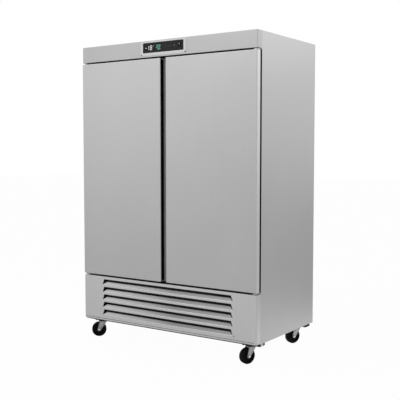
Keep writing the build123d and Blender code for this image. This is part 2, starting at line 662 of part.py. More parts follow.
with BuildPart() as controller_body:
    block((CONTROLLER_X - CONTROLLER_WIDTH / 2, CONTROLLER_X + CONTROLLER_WIDTH / 2),
          (FASCIA_REAR, FASCIA_REAR + CONTROLLER_DEPTH),
          (CONTROL_Z - CONTROLLER_HEIGHT / 2, CONTROL_Z + CONTROLLER_HEIGHT / 2))
    block((KEY_PLACES[0] - KEY_MARGIN, KEY_PLACES[-1] + KEY_MARGIN),
          (FASCIA_REAR, FASCIA_REAR + KEY_POCKET),
          (CONTROL_Z - KEY_MARGIN, CONTROL_Z + KEY_MARGIN), mode=Mode.SUBTRACT)
save(controller_body, "controller_body")

# Keys: a round cap in its hole and a flange behind the fascia that keeps it in
for i, key_x in enumerate(KEY_PLACES):
    with BuildPart() as control_key:
        level(key_x, (FASCIA_FRONT - KEY_PROUD, FASCIA_REAR), CONTROL_Z, KEY_RADIUS)
        level(key_x, (FASCIA_REAR, FASCIA_REAR + KEY_FLANGE), CONTROL_Z, KEY_FLANGE_RADIUS)
    save(control_key, f"control_key_{i + 1}")

# Rocker: a shallow V across its face, at rest with one half pressed
with BuildPart() as rocker_switch:
    half_height = ROCKER_HEIGHT / 2
    tilt = radians(ROCKER_TILT)
    pivot = (ROCKER_X, FASCIA_FRONT + ROCKER_PIVOT, CONTROL_Z)
    with BuildSketch(Plane(origin=pivot, x_dir=(0, cos(tilt), sin(tilt)), z_dir=(1, 0, 0))):
        Polygon((-ROCKER_TIP, -half_height), (-ROCKER_WAIST, 0), (-ROCKER_TIP, half_height),
                (0, half_height), (ROCKER_PIVOT, half_height / 2), (ROCKER_PIVOT, -half_height / 2),
                (0, -half_height), align=None)
    extrude(amount=ROCKER_WIDTH / 2, both=True)
    with Locations(pivot):
        Cylinder(ROCKER_PIN, ROCKER_WIDTH + 2 * ROCKER_GAP + 2 * ROCKER_PIN_LENGTH - 2 * JOINT,
                 rotation=(0, 90, 0))
save(rocker_switch, "rocker_switch")

# Doors: the right one is built, and the left one is its mirror image
grip_x = (DOOR_IN, DOOR_IN + GRIP_DEPTH)
grip_y = (FRONT + GRIP_LIP, DOOR_REAR)
grip_z = (DOOR_BOTTOM + GRIP_END, DOOR_TOP - GRIP_END)

with BuildPart() as right_door_skin:
    block((DOOR_IN, HALF), (FRONT, DOOR_REAR), (DOOR_BOTTOM, DOOR_TOP))
    fillet(right_door_skin.faces().sort_by(Axis.Y)[0].edges().filter_by(Axis.Z), DOOR_EDGE)
    fillet(right_door_skin.faces().sort_by(Axis.Y)[0].edges().filter_by(Axis.X), DOOR_FOLD)
    offset(amount=-SHEET, openings=right_door_skin.faces().sort_by(Axis.Y)[-1])
    block((DOOR_IN - SHEET, DOOR_IN + GRIP_DEPTH), grip_y, grip_z, mode=Mode.SUBTRACT)
    upright(PIN_X, PIN_Y, (DOOR_TOP - 2 * SHEET, DOOR_TOP), BUSH_RADIUS + BUSH_FIT, mode=Mode.SUBTRACT)
    upright(PIN_X, PIN_Y, (DOOR_BOTTOM, DOOR_BOTTOM + 2 * SHEET), BUSH_RADIUS + BUSH_FIT,
            mode=Mode.SUBTRACT)

with BuildPart() as right_door_core:
    block((DOOR_IN + SHEET, HALF - SHEET), (FRONT + SHEET, DOOR_REAR),
          (DOOR_BOTTOM + SHEET, DOOR_TOP - SHEET))
    fillet(right_door_core.faces().sort_by(Axis.Y)[0].edges().filter_by(Axis.Z), DOOR_EDGE - SHEET)
    fillet(right_door_core.faces().sort_by(Axis.Y)[0].edges().filter_by(Axis.X), DOOR_FOLD - SHEET)
    block(grip_x, grip_y, grip_z, mode=Mode.SUBTRACT)
    upright(PIN_X, PIN_Y, (DOOR_TOP - BUSH_LENGTH, DOOR_TOP), BUSH_RADIUS + BUSH_FIT,
            mode=Mode.SUBTRACT)
    upright(PIN_X, PIN_Y, (DOOR_BOTTOM, DOOR_BOTTOM + CLOSER_LENGTH), BUSH_RADIUS + BUSH_FIT,
            mode=Mode.SUBTRACT)

with BuildPart() as right_grip_channel:
    block(grip_x, grip_y, grip_z)
    offset(amount=-GRIP_WALL, openings=right_grip_channel.faces().sort_by(Axis.X)[0])

plug_x = (MULLION_WIDTH / 2 + PLUG_INSET, CAVITY_HALF - PLUG_INSET)
plug_z = (CAVITY_FLOOR + PLUG_INSET, OPENING_TOP - PLUG_INSET)
plug_plane = Plane(origin=((plug_x[0] + plug_x[1]) / 2, DOOR_REAR, (plug_z[0] + plug_z[1]) / 2),
                   x_dir=(1, 0, 0), z_dir=(0, 1, 0))
with BuildPart() as right_door_liner:
    block((DOOR_IN + DOOR_LINER_INSET, HALF - DOOR_LINER_INSET), (DOOR_REAR, DOOR_REAR + DOOR_LINER),
          (DOOR_BOTTOM + DOOR_LINER_INSET, DOOR_TOP - DOOR_LINER_INSET))
    with BuildSketch(plug_plane):
        RectangleRounded(plug_x[1] - plug_x[0], plug_z[1] - plug_z[0], PLUG_ROUND)
    extrude(amount=DOOR_LINER + PLUG_DEPTH, taper=PLUG_TAPER)
    with BuildSketch(plug_plane):
        RectangleRounded(plug_x[1] - plug_x[0] - 2 * DOOR_LINER, plug_z[1] - plug_z[0] - 2 * DOOR_LINER,
                         PLUG_ROUND - DOOR_LINER)
    extrude(amount=PLUG_DEPTH, taper=PLUG_TAPER, mode=Mode.SUBTRACT)

gasket_x = (DOOR_IN + GASKET_GRIP_INSET, HALF - GASKET_HINGE_INSET)
gasket_z = (DOOR_BOTTOM + GASKET_END_INSET, DOOR_TOP - GASKET_END_INSET)
with BuildPart() as right_door_gasket:
    gasket_front = DOOR_REAR + DOOR_LINER
    bulb_front = gasket_front + GASKET_BASE_DEPTH + GASKET_NECK_DEPTH
    for start, end, width in (
        (gasket_front, gasket_front + GASKET_BASE_DEPTH, GASKET_BASE),
        (gasket_front + GASKET_BASE_DEPTH, bulb_front, GASKET_NECK),
        (bulb_front, FACE - SEAL_GAP, GASKET_WIDTH),
    ):
        with BuildSketch(facing_front(start)):
            with Locations(((gasket_x[0] + gasket_x[1]) / 2, (gasket_z[0] + gasket_z[1]) / 2)):
                ring_x = gasket_x[1] - gasket_x[0] - GASKET_WIDTH
                ring_z = gasket_z[1] - gasket_z[0] - GASKET_WIDTH
                RectangleRounded(ring_x + width, ring_z + width, GASKET_ROUND + width / 2)
                RectangleRounded(ring_x - width, ring_z - width, GASKET_ROUND - width / 2,
                                 mode=Mode.SUBTRACT)
        extrude(amount=start - end)

# Hinge bush in the top of the door, and the spring closer cartridge in its bottom
with BuildPart() as right_hinge_bushes:
    upright(PIN_X, PIN_Y, (DOOR_TOP - BUSH_LENGTH, DOOR_TOP), BUSH_RADIUS)
    upright(PIN_X, PIN_Y, (DOOR_TOP - PIN_REACH - BORE_SPARE, DOOR_TOP), PIN_RADIUS + PIN_FIT,
            mode=Mode.SUBTRACT)
    upright(PIN_X, PIN_Y, (DOOR_BOTTOM, DOOR_BOTTOM + CLOSER_LENGTH), BUSH_RADIUS)
    upright(PIN_X, PIN_Y, (DOOR_BOTTOM, DOOR_BOTTOM + PIN_REACH + BORE_SPARE), PIN_RADIUS + PIN_FIT,
            mode=Mode.SUBTRACT)

for piece, name in (
    (right_door_skin, "door_skin"),
    (right_door_core, "door_core"),
    (right_grip_channel, "grip_channel"),
    (right_door_liner, "door_liner"),
    (right_door_gasket, "door_gasket"),
    (right_hinge_bushes, "hinge_bushes"),
):
    save(piece, f"right_{name}")
    save(mirrored(piece), f"left_{name}")

# Hinge brackets: a plate in the gap over or under the door, a leg on the cabinet face and the pin
upper_plate = DOOR_TOP + (GAP_OVER_DOOR - HINGE_PLATE) / 2
lower_plate = PANEL_TOP + (GAP_UNDER_DOOR - HINGE_PLATE) / 2
with BuildPart() as right_hinge_brackets:
    for plate, leg, pin in (
        (upper_plate, (upper_plate, upper_plate + HINGE_LEG), (DOOR_TOP - PIN_REACH, upper_plate)),
        (lower_plate, (lower_plate + HINGE_PLATE - HINGE_LEG, lower_plate + HINGE_PLATE),
         (lower_plate, DOOR_BOTTOM + PIN_REACH)),
    ):
        foot_x = (PIN_X - HINGE_REACH, PIN_X + HINGE_EYE)
        with BuildSketch(Plane.XY.offset(plate)) as outline:
            with Locations((PIN_X, PIN_Y)):
                Circle(HINGE_EYE)
            with Locations(((foot_x[0] + foot_x[1]) / 2, FACE - HINGE_PLATE / 2)):
                Rectangle(foot_x[1] - foot_x[0], HINGE_PLATE)
            make_hull()
        extrude(amount=HINGE_PLATE)
        block(foot_x, (FACE - HINGE_PLATE, FACE), leg)
        upright(PIN_X, PIN_Y, pin, PIN_RADIUS)
with BuildPart() as hinge_brackets:
    add(right_hinge_brackets.part)
    mirror(right_hinge_brackets.part, about=Plane.YZ)
save(hinge_brackets, "hinge_brackets")

# Casters: fixed plates with their kingpins
with BuildPart() as caster_plates:
    for place in CASTER_PLACES.values():
        with BuildSketch(Plane.XY.offset(PLATE_BOTTOM)):
            with Locations(place):
                RectangleRounded(CASTER_PLATE_X, CASTER_PLATE_Y, CASTER_PLATE_ROUND)
        extrude(amount=CASTER_PLATE)
        head_top = CROWN_BOTTOM - JOINT
        upright(*place, (head_top, PLATE_BOTTOM), KINGPIN_RADIUS)
        upright(*place, (head_top - KINGPIN_HEAD_HEIGHT, head_top), KINGPIN_HEAD)
save(caster_plates, "caster_plates")

# Fork, built over the origin with the wheel trailing to -Y, and its axle bolt beside it
axle = (0, -TRAIL, WHEEL_RADIUS)
with BuildPart() as fork:
    upright(0, 0, (CUP_BOTTOM, CUP_BOTTOM + SWIVEL_CUP_HEIGHT), SWIVEL_CUP)
    with BuildSketch(Plane.XY.offset(CROWN_BOTTOM)):
        RectangleRounded(2 * FORK_OUTSIDE, FORK_LENGTH, FORK_SHEET)
    extrude(amount=FORK_SHEET)
    for leg_x in (-FORK_OUTSIDE, FORK_INSIDE):
        with BuildSketch(Plane.YZ.offset(leg_x)):
            with Locations((-TRAIL, WHEEL_RADIUS)):
                Circle(FORK_EYE)
            with Locations((0, CROWN_BOTTOM + FORK_SHEET / 2)):
                Rectangle(FORK_LENGTH - 2 * FORK_SHEET, FORK_SHEET)
            make_hull()
        extrude(amount=LEG_SHEET)
    upright(0, 0, (CROWN_BOTTOM, PLATE_BOTTOM), KINGPIN_RADIUS + KINGPIN_FIT, mode=Mode.SUBTRACT)
    with Locations(axle):
        Cylinder(AXLE_RADIUS + AXLE_FIT, 2 * FORK_OUTSIDE, rotation=(0, 90, 0), mode=Mode.SUBTRACT)

with BuildPart() as axle_bolt:
    with Locations(axle):
        Cylinder(AXLE_RADIUS, 2 * FORK_OUTSIDE, rotation=(0, 90, 0))
    for end in (-FORK_OUTSIDE - AXLE_HEAD_HEIGHT, FORK_OUTSIDE):
        with BuildSketch(Plane.YZ.offset(end)):
            with Locations((-TRAIL, WHEEL_RADIUS)):
                RegularPolygon(AXLE_HEAD, 6)
        extrude(amount=AXLE_HEAD_HEIGHT)

# Wheel: a tread with sloping shoulders, a thinner web and a hub, turned about its axle
with BuildPart() as wheel:
    with BuildSketch(Plane.XY) as section:
        with BuildLine():
            shoulder = WHEEL_RADIUS - WHEEL_SHOULDER
            Polyline(
                (WHEEL_WIDTH / 2, shoulder),
                (WHEEL_WIDTH / 2, WHEEL_RIM),
                (WHEEL_WEB / 2, WHEEL_RIM),
                (WHEEL_WEB / 2, HUB_RADIUS),
                (HUB_WIDTH / 2, HUB_RADIUS),
                (HUB_WIDTH / 2, AXLE_RADIUS + AXLE_FIT),
                (-HUB_WIDTH / 2, AXLE_RADIUS + AXLE_FIT),
                (-HUB_WIDTH / 2, HUB_RADIUS),
                (-WHEEL_WEB / 2, HUB_RADIUS),
                (-WHEEL_WEB / 2, WHEEL_RIM),
                (-WHEEL_WIDTH / 2, WHEEL_RIM),
                (-WHEEL_WIDTH / 2, shoulder),
                (-TREAD_WIDTH / 2, WHEEL_RADIUS),
                (TREAD_WIDTH / 2, WHEEL_RADIUS),
                close=True,
            )
        make_face()
    revolve(axis=Axis.X)

for corner, place in CASTER_PLACES.items():
    stand = Location((*place, 0), (0, 0, SWIVEL_REST[corner]))
    with BuildPart() as caster_fork:
        with Locations(stand):
            add(fork.part)
    turned_bolt = axle_bolt.part.moved(stand)
    caster_fork.part = Part(children=[caster_fork.part, turned_bolt])
    save(caster_fork, f"caster_fork_{corner}")
    with BuildPart() as caster_wheel:
        with Locations(stand * Location(axle)):
            add(wheel.part)
    save(caster_wheel, f"caster_wheel_{corner}")

# Storage: slotted pilasters, clips and welded wire shelves
pilaster_y = (THROAT_BACK + PILASTER_FRONT, CAVITY_BACK - PILASTER_REAR)
STANDS = [
    *[Location((CAVITY_HALF, y, 0), (0, 0, 90)) for y in pilaster_y],
    *[Location((-CAVITY_HALF, y, 0), (0, 0, -90)) for y in pilaster_y],
    *[Location((side * PILASTER_MIDDLE, THROAT_BACK, 0)) for side in (-1, 1)],
    *[Location((side * PILASTER_MIDDLE, CAVITY_BACK, 0), (0, 0, 180)) for side in (-1, 1)],
]
with BuildPart() as pilaster:
    with BuildSketch(Plane.XY.offset(PILASTER_BOTTOM)):
        with Locations((0, PILASTER_DEPTH / 2)):
            Rectangle(PILASTER_WIDTH, PILASTER_DEPTH)
        with Locations((0, (PILASTER_DEPTH - PILASTER_SHEET) / 2)):
            Rectangle(PILASTER_WIDTH - 2 * PILASTER_SHEET, PILASTER_DEPTH - PILASTER_SHEET,
                      mode=Mode.SUBTRACT)
    extrude(amount=PILASTER_HEIGHT)
    with BuildSketch(facing_front(PILASTER_DEPTH)):
        with Locations((0, PILASTER_BOTTOM + PILASTER_HEIGHT / 2)):
            with GridLocations(1, PILASTER_SLOT_PITCH, 1, PILASTER_SLOTS):
                Rectangle(PILASTER_SLOT_WIDTH, PILASTER_SLOT_HEIGHT)
    extrude(amount=2 * PILASTER_SHEET, mode=Mode.SUBTRACT)

with BuildPart() as shelf_pilasters:
    with Locations(STANDS):
        add(pilaster.part)
save(shelf_pilasters, "shelf_pilasters")

with BuildPart() as shelf_clips:
    for height in SHELF_LEVELS:
        seat = height - ROD_RADIUS
        with BuildPart(mode=Mode.PRIVATE) as clip:
            with BuildSketch(Plane.YZ):
                Polygon((PILASTER_DEPTH, seat), (PILASTER_DEPTH + CLIP_TONGUE, seat),
                        (PILASTER_DEPTH + CLIP_TONGUE, seat - CLIP_SHEET),
                        (PILASTER_DEPTH + CLIP_SHEET, seat - CLIP_SHEET),
                        (PILASTER_DEPTH + CLIP_SHEET, seat - CLIP_DROP),
                        (PILASTER_DEPTH, seat - CLIP_DROP), align=None)
            extrude(amount=CLIP_WIDTH / 2, both=True)
        with Locations(STANDS):
            add(clip.part)
save(shelf_clips, "shelf_clips")

shelf_x = (SHELF_SPLIT / 2, CAVITY_HALF - SHELF_CLEAR)
shelf_y = (THROAT_BACK + SHELF_FRONT, CAVITY_BACK - SHELF_REAR)
shelf_wide = shelf_x[1] - shelf_x[0] - 2 * ROD_RADIUS
shelf_deep = shelf_y[1] - shelf_y[0] - 2 * ROD_RADIUS
with BuildPart() as shelf:
    with BuildSketch(Plane.YZ.offset(-shelf_wide / 2 - ROD_RADIUS)):
        with Locations((-shelf_deep / 2, 0), (-BRACE_PITCH / 2, 0), (BRACE_PITCH / 2, 0),
                       (shelf_deep / 2, 0)):
            RegularPolygon(ROD_RADIUS, WIRE_SIDES)
    extrude(amount=shelf_wide + 2 * ROD_RADIUS)
    with BuildSketch(facing_front(shelf_deep / 2)):
        with Locations((-shelf_wide / 2, 0), (shelf_wide / 2, 0)):
            RegularPolygon(ROD_RADIUS, WIRE_SIDES)
    extrude(amount=shelf_deep)
    with BuildSketch(facing_front(shelf_deep / 2 + ROD_RADIUS)):
        with Locations((0, ROD_RADIUS + WIRE_RADIUS - WIRE_SINK)):
            with GridLocations(shelf_wide / (WIRE_COUNT + 1), 1, WIRE_COUNT, 1):
                RegularPolygon(WIRE_RADIUS, WIRE_SIDES)
    extrude(amount=shelf_deep + 2 * ROD_RADIUS)

with BuildPart() as wire_shelves:
    middle_x = (shelf_x[0] + shelf_x[1]) / 2
    middle_y = (shelf_y[0] + shelf_y[1]) / 2
    with Locations([(side * middle_x, middle_y, z) for side in (-1, 1) for z in SHELF_LEVELS]):
        add(shelf.part)
save(wire_shelves, "wire_shelves")

with BuildPart() as interior_lamp:
    block((-LAMP_LENGTH / 2, LAMP_LENGTH / 2),
          (THROAT_BACK + LAMP_SETBACK, THROAT_BACK + LAMP_SETBACK + LAMP_WIDTH),
          (CAVITY_TOP - LAMP_HEIGHT, CAVITY_TOP))
    fillet(interior_lamp.edges().filter_by(Axis.X).group_by(Axis.Z)[0], LAMP_ROUND)
save(interior_lamp, "interior_lamp")

# Evaporator housing under the ceiling, with a ring of guard slots in front of each fan
with BuildPart() as evaporator_cover:
    block((-COVER_WIDTH / 2, COVER_WIDTH / 2), (COVER_FRONT, CAVITY_BACK),
          (CAVITY_TOP - COVER_HEIGHT, CAVITY_TOP))
    offset(amount=-SHEET, openings=[evaporator_cover.faces().sort_by(Axis.Z)[-1],
                                    evaporator_cover.faces().sort_by(Axis.Y)[-1]])
    with BuildSketch(facing_front(COVER_FRONT)):
        for side in (-1, 1):
            with Locations((side * COLD_FAN_X, COLD_FAN_Z)):
                with PolarLocations(GUARD_RADIUS, GUARD_SLOTS):
                    Rectangle(GUARD_SLOT_LENGTH, GUARD_SLOT_WIDTH)
    extrude(amount=-2 * SHEET, mode=Mode.SUBTRACT)
save(evaporator_cover, "evaporator_cover")


def finned(wide, x, y, z, groove):
    """A pack of fins: a block with upright grooves cut in its front and its back."""
    block((x - wide / 2, x + wide / 2), y, z)
    count = int(wide // FIN_PITCH) - 1
    for i in range(count):
        groove_x = x + (i - (count - 1) / 2) * FIN_PITCH
        for face in ((y[0], y[0] + groove), (y[1] - groove, y[1])):
            block((groove_x - groove / 2, groove_x + groove / 2), face, z, mode=Mode.SUBTRACT)


with BuildPart() as evaporator_coil:
    coil_y = (CAVITY_BACK - COIL_SETBACK - COIL_DEPTH, CAVITY_BACK - COIL_SETBACK)
    coil_z = (COLD_FAN_Z - COIL_HEIGHT / 2, COLD_FAN_Z + COIL_HEIGHT / 2)
    finned(COIL_WIDTH, 0, coil_y, coil_z, FIN_GROOVE)
    for side in (-1, 1):
        ends = sorted((side * COIL_WIDTH / 2, side * (COIL_WIDTH / 2 + COIL_PLATE)))
        block(ends, coil_y, (coil_z[0], CAVITY_TOP))
save(evaporator_coil, "evaporator_coil")


def fan(centre, radius, hub, hub_depth, shaft):
    """An axial fan about a line along Y: a bored hub with pitched blades."""
    with BuildPart() as rotor:
        level(centre[0], (centre[1] - hub_depth / 2, centre[1] + hub_depth / 2), centre[2], hub)
        for k in range(FAN_BLADES):
            turn = radians(k * 360 / FAN_BLADES)
            out = Vector(cos(turn), 0, sin(turn))
            across = Vector(-sin(turn), 0, cos(turn)) * cos(radians(FAN_PITCH))
            chord = across + Vector(0, sin(radians(FAN_PITCH)), 0)
            with BuildSketch(Plane(origin=centre, x_dir=out, z_dir=out.cross(chord))) as blade:
                root_half = hub_depth / 2
                tip_half = radius / 3
                Polygon((hub - FAN_SHEET, -root_half), (radius * cos(radians(FAN_PITCH)), -tip_half),
                        (radius * cos(radians(FAN_PITCH)), tip_half), (hub - FAN_SHEET, root_half),
                        align=None)
                chamfer(blade.vertices().group_by(Axis.X)[-1], tip_half / 2)
            extrude(amount=FAN_SHEET / 2, both=True)
        level(centre[0], (centre[1] - hub_depth, centre[1] + hub_depth), centre[2],
              shaft + SHAFT_FIT, mode=Mode.SUBTRACT)
    return rotor


save(fan((CONDENSER_X, FAN_Y, CONDENSER_Z), FAN_RADIUS, FAN_HUB, FAN_HUB_DEPTH, MOTOR_SHAFT),
     "condenser_fan")
for name, side in (("left", -1), ("right", 1)):
    save(fan((side * COLD_FAN_X, COLD_FAN_Y, COLD_FAN_Z), COLD_FAN_RADIUS, COLD_HUB, COLD_HUB_DEPTH,
             COLD_SHAFT), f"evaporator_fan_{name}")

# Fan motors: the condenser's on a spider in front of the shroud, the two cold ones on ceiling straps
with BuildPart() as fan_motors:
    motor_y = FAN_Y + FAN_HUB_DEPTH / 2 + MOTOR_GAP
    level(CONDENSER_X, (motor_y, motor_y + MOTOR_DEPTH), CONDENSER_Z, MOTOR_RADIUS)
    level(CONDENSER_X, (FAN_Y - FAN_HUB_DEPTH / 2 + SHAFT_SPARE, motor_y), CONDENSER_Z, MOTOR_SHAFT)
    bar_y = (motor_y + MOTOR_DEPTH / 2, motor_y + MOTOR_DEPTH / 2 + SPIDER_SHEET)
    reach = SPIDER_RADIUS + SPIDER_BAR / 2
    for along in (0, 1):
        bar = [(-SPIDER_BAR / 2, SPIDER_BAR / 2), (-SPIDER_BAR / 2, SPIDER_BAR / 2)]
        bar[along] = (-reach, reach)
        block([CONDENSER_X + v for v in bar[0]], bar_y, [CONDENSER_Z + v for v in bar[1]])
    for out_x, out_z in ((1, 0), (-1, 0), (0, 1), (0, -1)):
        level(CONDENSER_X + out_x * SPIDER_RADIUS, (SHROUD_REAR, bar_y[0]),
              CONDENSER_Z + out_z * SPIDER_RADIUS, SPIDER_POST)
    for side in (-1, 1):
        cold_x = side * COLD_FAN_X
        cold_y = COLD_FAN_Y + COLD_HUB_DEPTH / 2 + COLD_MOTOR_GAP
        level(cold_x, (cold_y, cold_y + COLD_MOTOR_DEPTH), COLD_FAN_Z, COLD_MOTOR_RADIUS)
        level(cold_x, (COLD_FAN_Y - COLD_HUB_DEPTH / 2 + SHAFT_SPARE, cold_y), COLD_FAN_Z, COLD_SHAFT)
        strap_y = cold_y + COLD_MOTOR_DEPTH / 2
        block((cold_x - COLD_STRAP / 2, cold_x + COLD_STRAP / 2), (strap_y, strap_y + STRAP_SHEET),
              (COLD_FAN_Z, CAVITY_TOP))
save(fan_motors, "fan_motors")

# Condenser behind the grille: fins between two end plates, with return bends
with BuildPart() as condenser_coil:
    coil_y = (CONDENSER_FRONT, CONDENSER_REAR)
    finned(CONDENSER_WIDTH, CONDENSER_X, coil_y,
           (CONDENSER_BOTTOM, CONDENSER_BOTTOM + CONDENSER_HEIGHT), FIN_GROOVE)
    for side in (-1, 1):
        plate = (CONDENSER_X + side * CONDENSER_WIDTH / 2,
                 CONDENSER_X + side * (CONDENSER_WIDTH / 2 + CONDENSER_PLATE))
        block(sorted(plate), coil_y, (TRAY_TOP, CONDENSER_BOTTOM + CONDENSER_HEIGHT))
    bend_pitch = CONDENSER_HEIGHT / BEND_COUNT
    for i in range(BEND_COUNT):
        bend_z = CONDENSER_BOTTOM + (i + 0.5) * bend_pitch
        bend_y = (CONDENSER_FRONT + CONDENSER_REAR) / 2
        far_end = 2 * CONDENSER_X - CONDENSER_END
        with BuildSketch(Plane.YZ.offset(far_end)):
            with Locations((bend_y, bend_z + BEND_RADIUS)):
                RegularPolygon(BEND_PIPE, TUBE_SIDES)
        revolve(axis=Axis((far_end, bend_y, bend_z), (0, 1, 0)), revolution_arc=-180)
save(condenser_coil, "condenser_coil")

with BuildPart() as fan_shroud:
    block((CONDENSER_X - CONDENSER_WIDTH / 2, CONDENSER_X + CONDENSER_WIDTH / 2),
          (CONDENSER_REAR, SHROUD_REAR), (CONDENSER_BOTTOM, CONDENSER_BOTTOM + CONDENSER_HEIGHT))
    offset(amount=-SHEET, openings=fan_shroud.faces().sort_by(Axis.Y)[0])
    level(CONDENSER_X, (SHROUD_REAR - 2 * SHEET, SHROUD_REAR), CONDENSER_Z, SHROUD_HOLE,
          mode=Mode.SUBTRACT)
save(fan_shroud, "fan_shroud")

# Compressor: a welded shell on a mounting plate with four rubber grommets
plate_z = TRAY_TOP + GROMMET_HEIGHT
shell_z = plate_z + COMPRESSOR_PLATE
shell_top = shell_z + COMPRESSOR_HEIGHT
with BuildPart() as compressor:
    shell_plane = Plane(origin=(COMPRESSOR_X, COMPRESSOR_Y, 0), x_dir=(1, 0, 0), z_dir=(0, -1, 0))
    with BuildSketch(shell_plane):
        with BuildLine():
            seam_z = shell_z + COMPRESSOR_HEIGHT / 2
            seam = COMPRESSOR_RADIUS + COMPRESSOR_SEAM
            dome_z = shell_top - COMPRESSOR_DOME
            Polyline(
                (0, shell_top),
                (0, shell_z),
                (COMPRESSOR_RADIUS - COMPRESSOR_SEAM, shell_z),
                (COMPRESSOR_RADIUS, shell_z + COMPRESSOR_SEAM),
                (COMPRESSOR_RADIUS, seam_z),
                (seam, seam_z),
                (seam, seam_z + COMPRESSOR_SEAM),
                (COMPRESSOR_RADIUS, seam_z + COMPRESSOR_SEAM),
                *[(COMPRESSOR_RADIUS * cos(radians(a)), dome_z + COMPRESSOR_DOME * sin(radians(a)))
                  for a in DOME_ANGLES],
                close=True,
            )
        make_face()
    revolve(axis=Axis((COMPRESSOR_X, COMPRESSOR_Y, 0), (0, 0, 1)))
    block((COMPRESSOR_X - COMPRESSOR_PLATE_X / 2, COMPRESSOR_X + COMPRESSOR_PLATE_X / 2),
          (COMPRESSOR_Y - COMPRESSOR_PLATE_Y / 2, COMPRESSOR_Y + COMPRESSOR_PLATE_Y / 2),
          (plate_z, shell_z))
    with Locations((COMPRESSOR_X, COMPRESSOR_Y, TRAY_TOP + GROMMET_HEIGHT / 2)):
        with GridLocations(COMPRESSOR_PLATE_X - 2 * GROMMET_INSET,
                           COMPRESSOR_PLATE_Y - 2 * GROMMET_INSET, 2, 2):
            Cylinder(GROMMET_RADIUS, GROMMET_HEIGHT)
    upright(COMPRESSOR_X + SUCTION_OFFSET, COMPRESSOR_Y,
            (dome_z, shell_top + SUCTION_STUB), PIPE_RADIUS)
save(compressor, "compressor")

# Copper lines: discharge to the condenser, liquid through the drier, suction from the cold box
discharge_z = TRAY_TOP + DISCHARGE_LIFT
liquid_z = TRAY_TOP + LIQUID_LIFT
coil_mid_y = (CONDENSER_FRONT + CONDENSER_REAR) / 2
drier_x = CONDENSER_END + DRIER_START
drier_end = drier_x + DRIER_LENGTH
corner_x = (CONDENSER_END + COMPRESSOR_X - COMPRESSOR_RADIUS) / 2
ROUTES = (
    ((COMPRESSOR_X - COMPRESSOR_RADIUS, COMPRESSOR_Y, discharge_z), (corner_x, COMPRESSOR_Y, discharge_z),
     (corner_x, coil_mid_y, discharge_z), (CONDENSER_END, coil_mid_y, discharge_z)),
    ((drier_end, coil_mid_y, liquid_z), (CONDENSER_END + LIQUID_RUN, coil_mid_y, liquid_z),
     (CONDENSER_END + LIQUID_RUN, coil_mid_y, BOX_BOTTOM)),
)
STRAIGHTS = (
    ((CONDENSER_END, coil_mid_y, liquid_z), (drier_x, coil_mid_y, liquid_z)),
    ((COMPRESSOR_X + SUCTION_OFFSET, COMPRESSOR_Y, shell_top + SUCTION_STUB),
     (COMPRESSOR_X + SUCTION_OFFSET, COMPRESSOR_Y, BOX_BOTTOM)),
)
with BuildPart() as refrigerant_lines:
    for route in ROUTES:
        with BuildLine() as run:
            FilletPolyline(*route, radius=PIPE_BEND)
        with BuildSketch(Plane(origin=run.line @ 0, z_dir=run.line % 0)):
            RegularPolygon(PIPE_RADIUS, TUBE_SIDES)
        sweep(path=run.line)
    for start, end in STRAIGHTS:
        with BuildSketch(Plane(origin=start, z_dir=Vector(*end) - Vector(*start))):
            RegularPolygon(PIPE_RADIUS, TUBE_SIDES)
        extrude(amount=(Vector(*end) - Vector(*start)).length)
    with BuildSketch(Plane(origin=(drier_x, coil_mid_y, liquid_z), x_dir=(1, 0, 0), z_dir=(0, 0, 1))):
        Polygon((0, 0), (0, PIPE_RADIUS), (DRIER_RADIUS, DRIER_RADIUS),
                (DRIER_LENGTH - DRIER_RADIUS, DRIER_RADIUS), (DRIER_LENGTH, PIPE_RADIUS),
                (DRIER_LENGTH, 0), align=None)
    revolve(axis=Axis((drier_x, coil_mid_y, liquid_z), (1, 0, 0)))
save(refrigerant_lines, "refrigerant_lines")

with BuildPart() as drain_pan:
    pan_rear = REAR_COVER_FRONT - DRAIN_SETBACK
    block((DRAIN_X - DRAIN_WIDTH / 2, DRAIN_X + DRAIN_WIDTH / 2), (pan_rear - DRAIN_DEPTH, pan_rear),
          (TRAY_TOP, TRAY_TOP + DRAIN_HEIGHT))
    fillet(drain_pan.edges().filter_by(Axis.Z), DRAIN_ROUND)
    offset(amount=-SHEET, openings=drain_pan.faces().sort_by(Axis.Z)[-1])
save(drain_pan, "drain_pan")

# Electrical box, with the cord gland that comes out through the lower rear cover
with BuildPart() as electrical_box:
    box_rear = REAR_COVER_FRONT - BOX_SETBACK
    block((BOX_X - BOX_WIDTH / 2, BOX_X + BOX_WIDTH / 2), (box_rear - BOX_DEPTH, box_rear),
          (TRAY_TOP, TRAY_TOP + BOX_HEIGHT))
    fillet(electrical_box.edges().filter_by(Axis.Z), BOX_ROUND)
    gland_z = TRAY_TOP + GLAND_LIFT
    level(BOX_X, (box_rear, REAR_COVER_FRONT + GLAND_PROUD), gland_z, GLAND_RADIUS)
    with BuildSketch(facing_front(REAR_COVER_FRONT + SHEET)):
        with Locations((BOX_X, gland_z)):
            RegularPolygon(GLAND_NUT, 6)
    extrude(amount=-GLAND_NUT_DEPTH)
save(electrical_box, "electrical_box")
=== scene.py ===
import json
import math

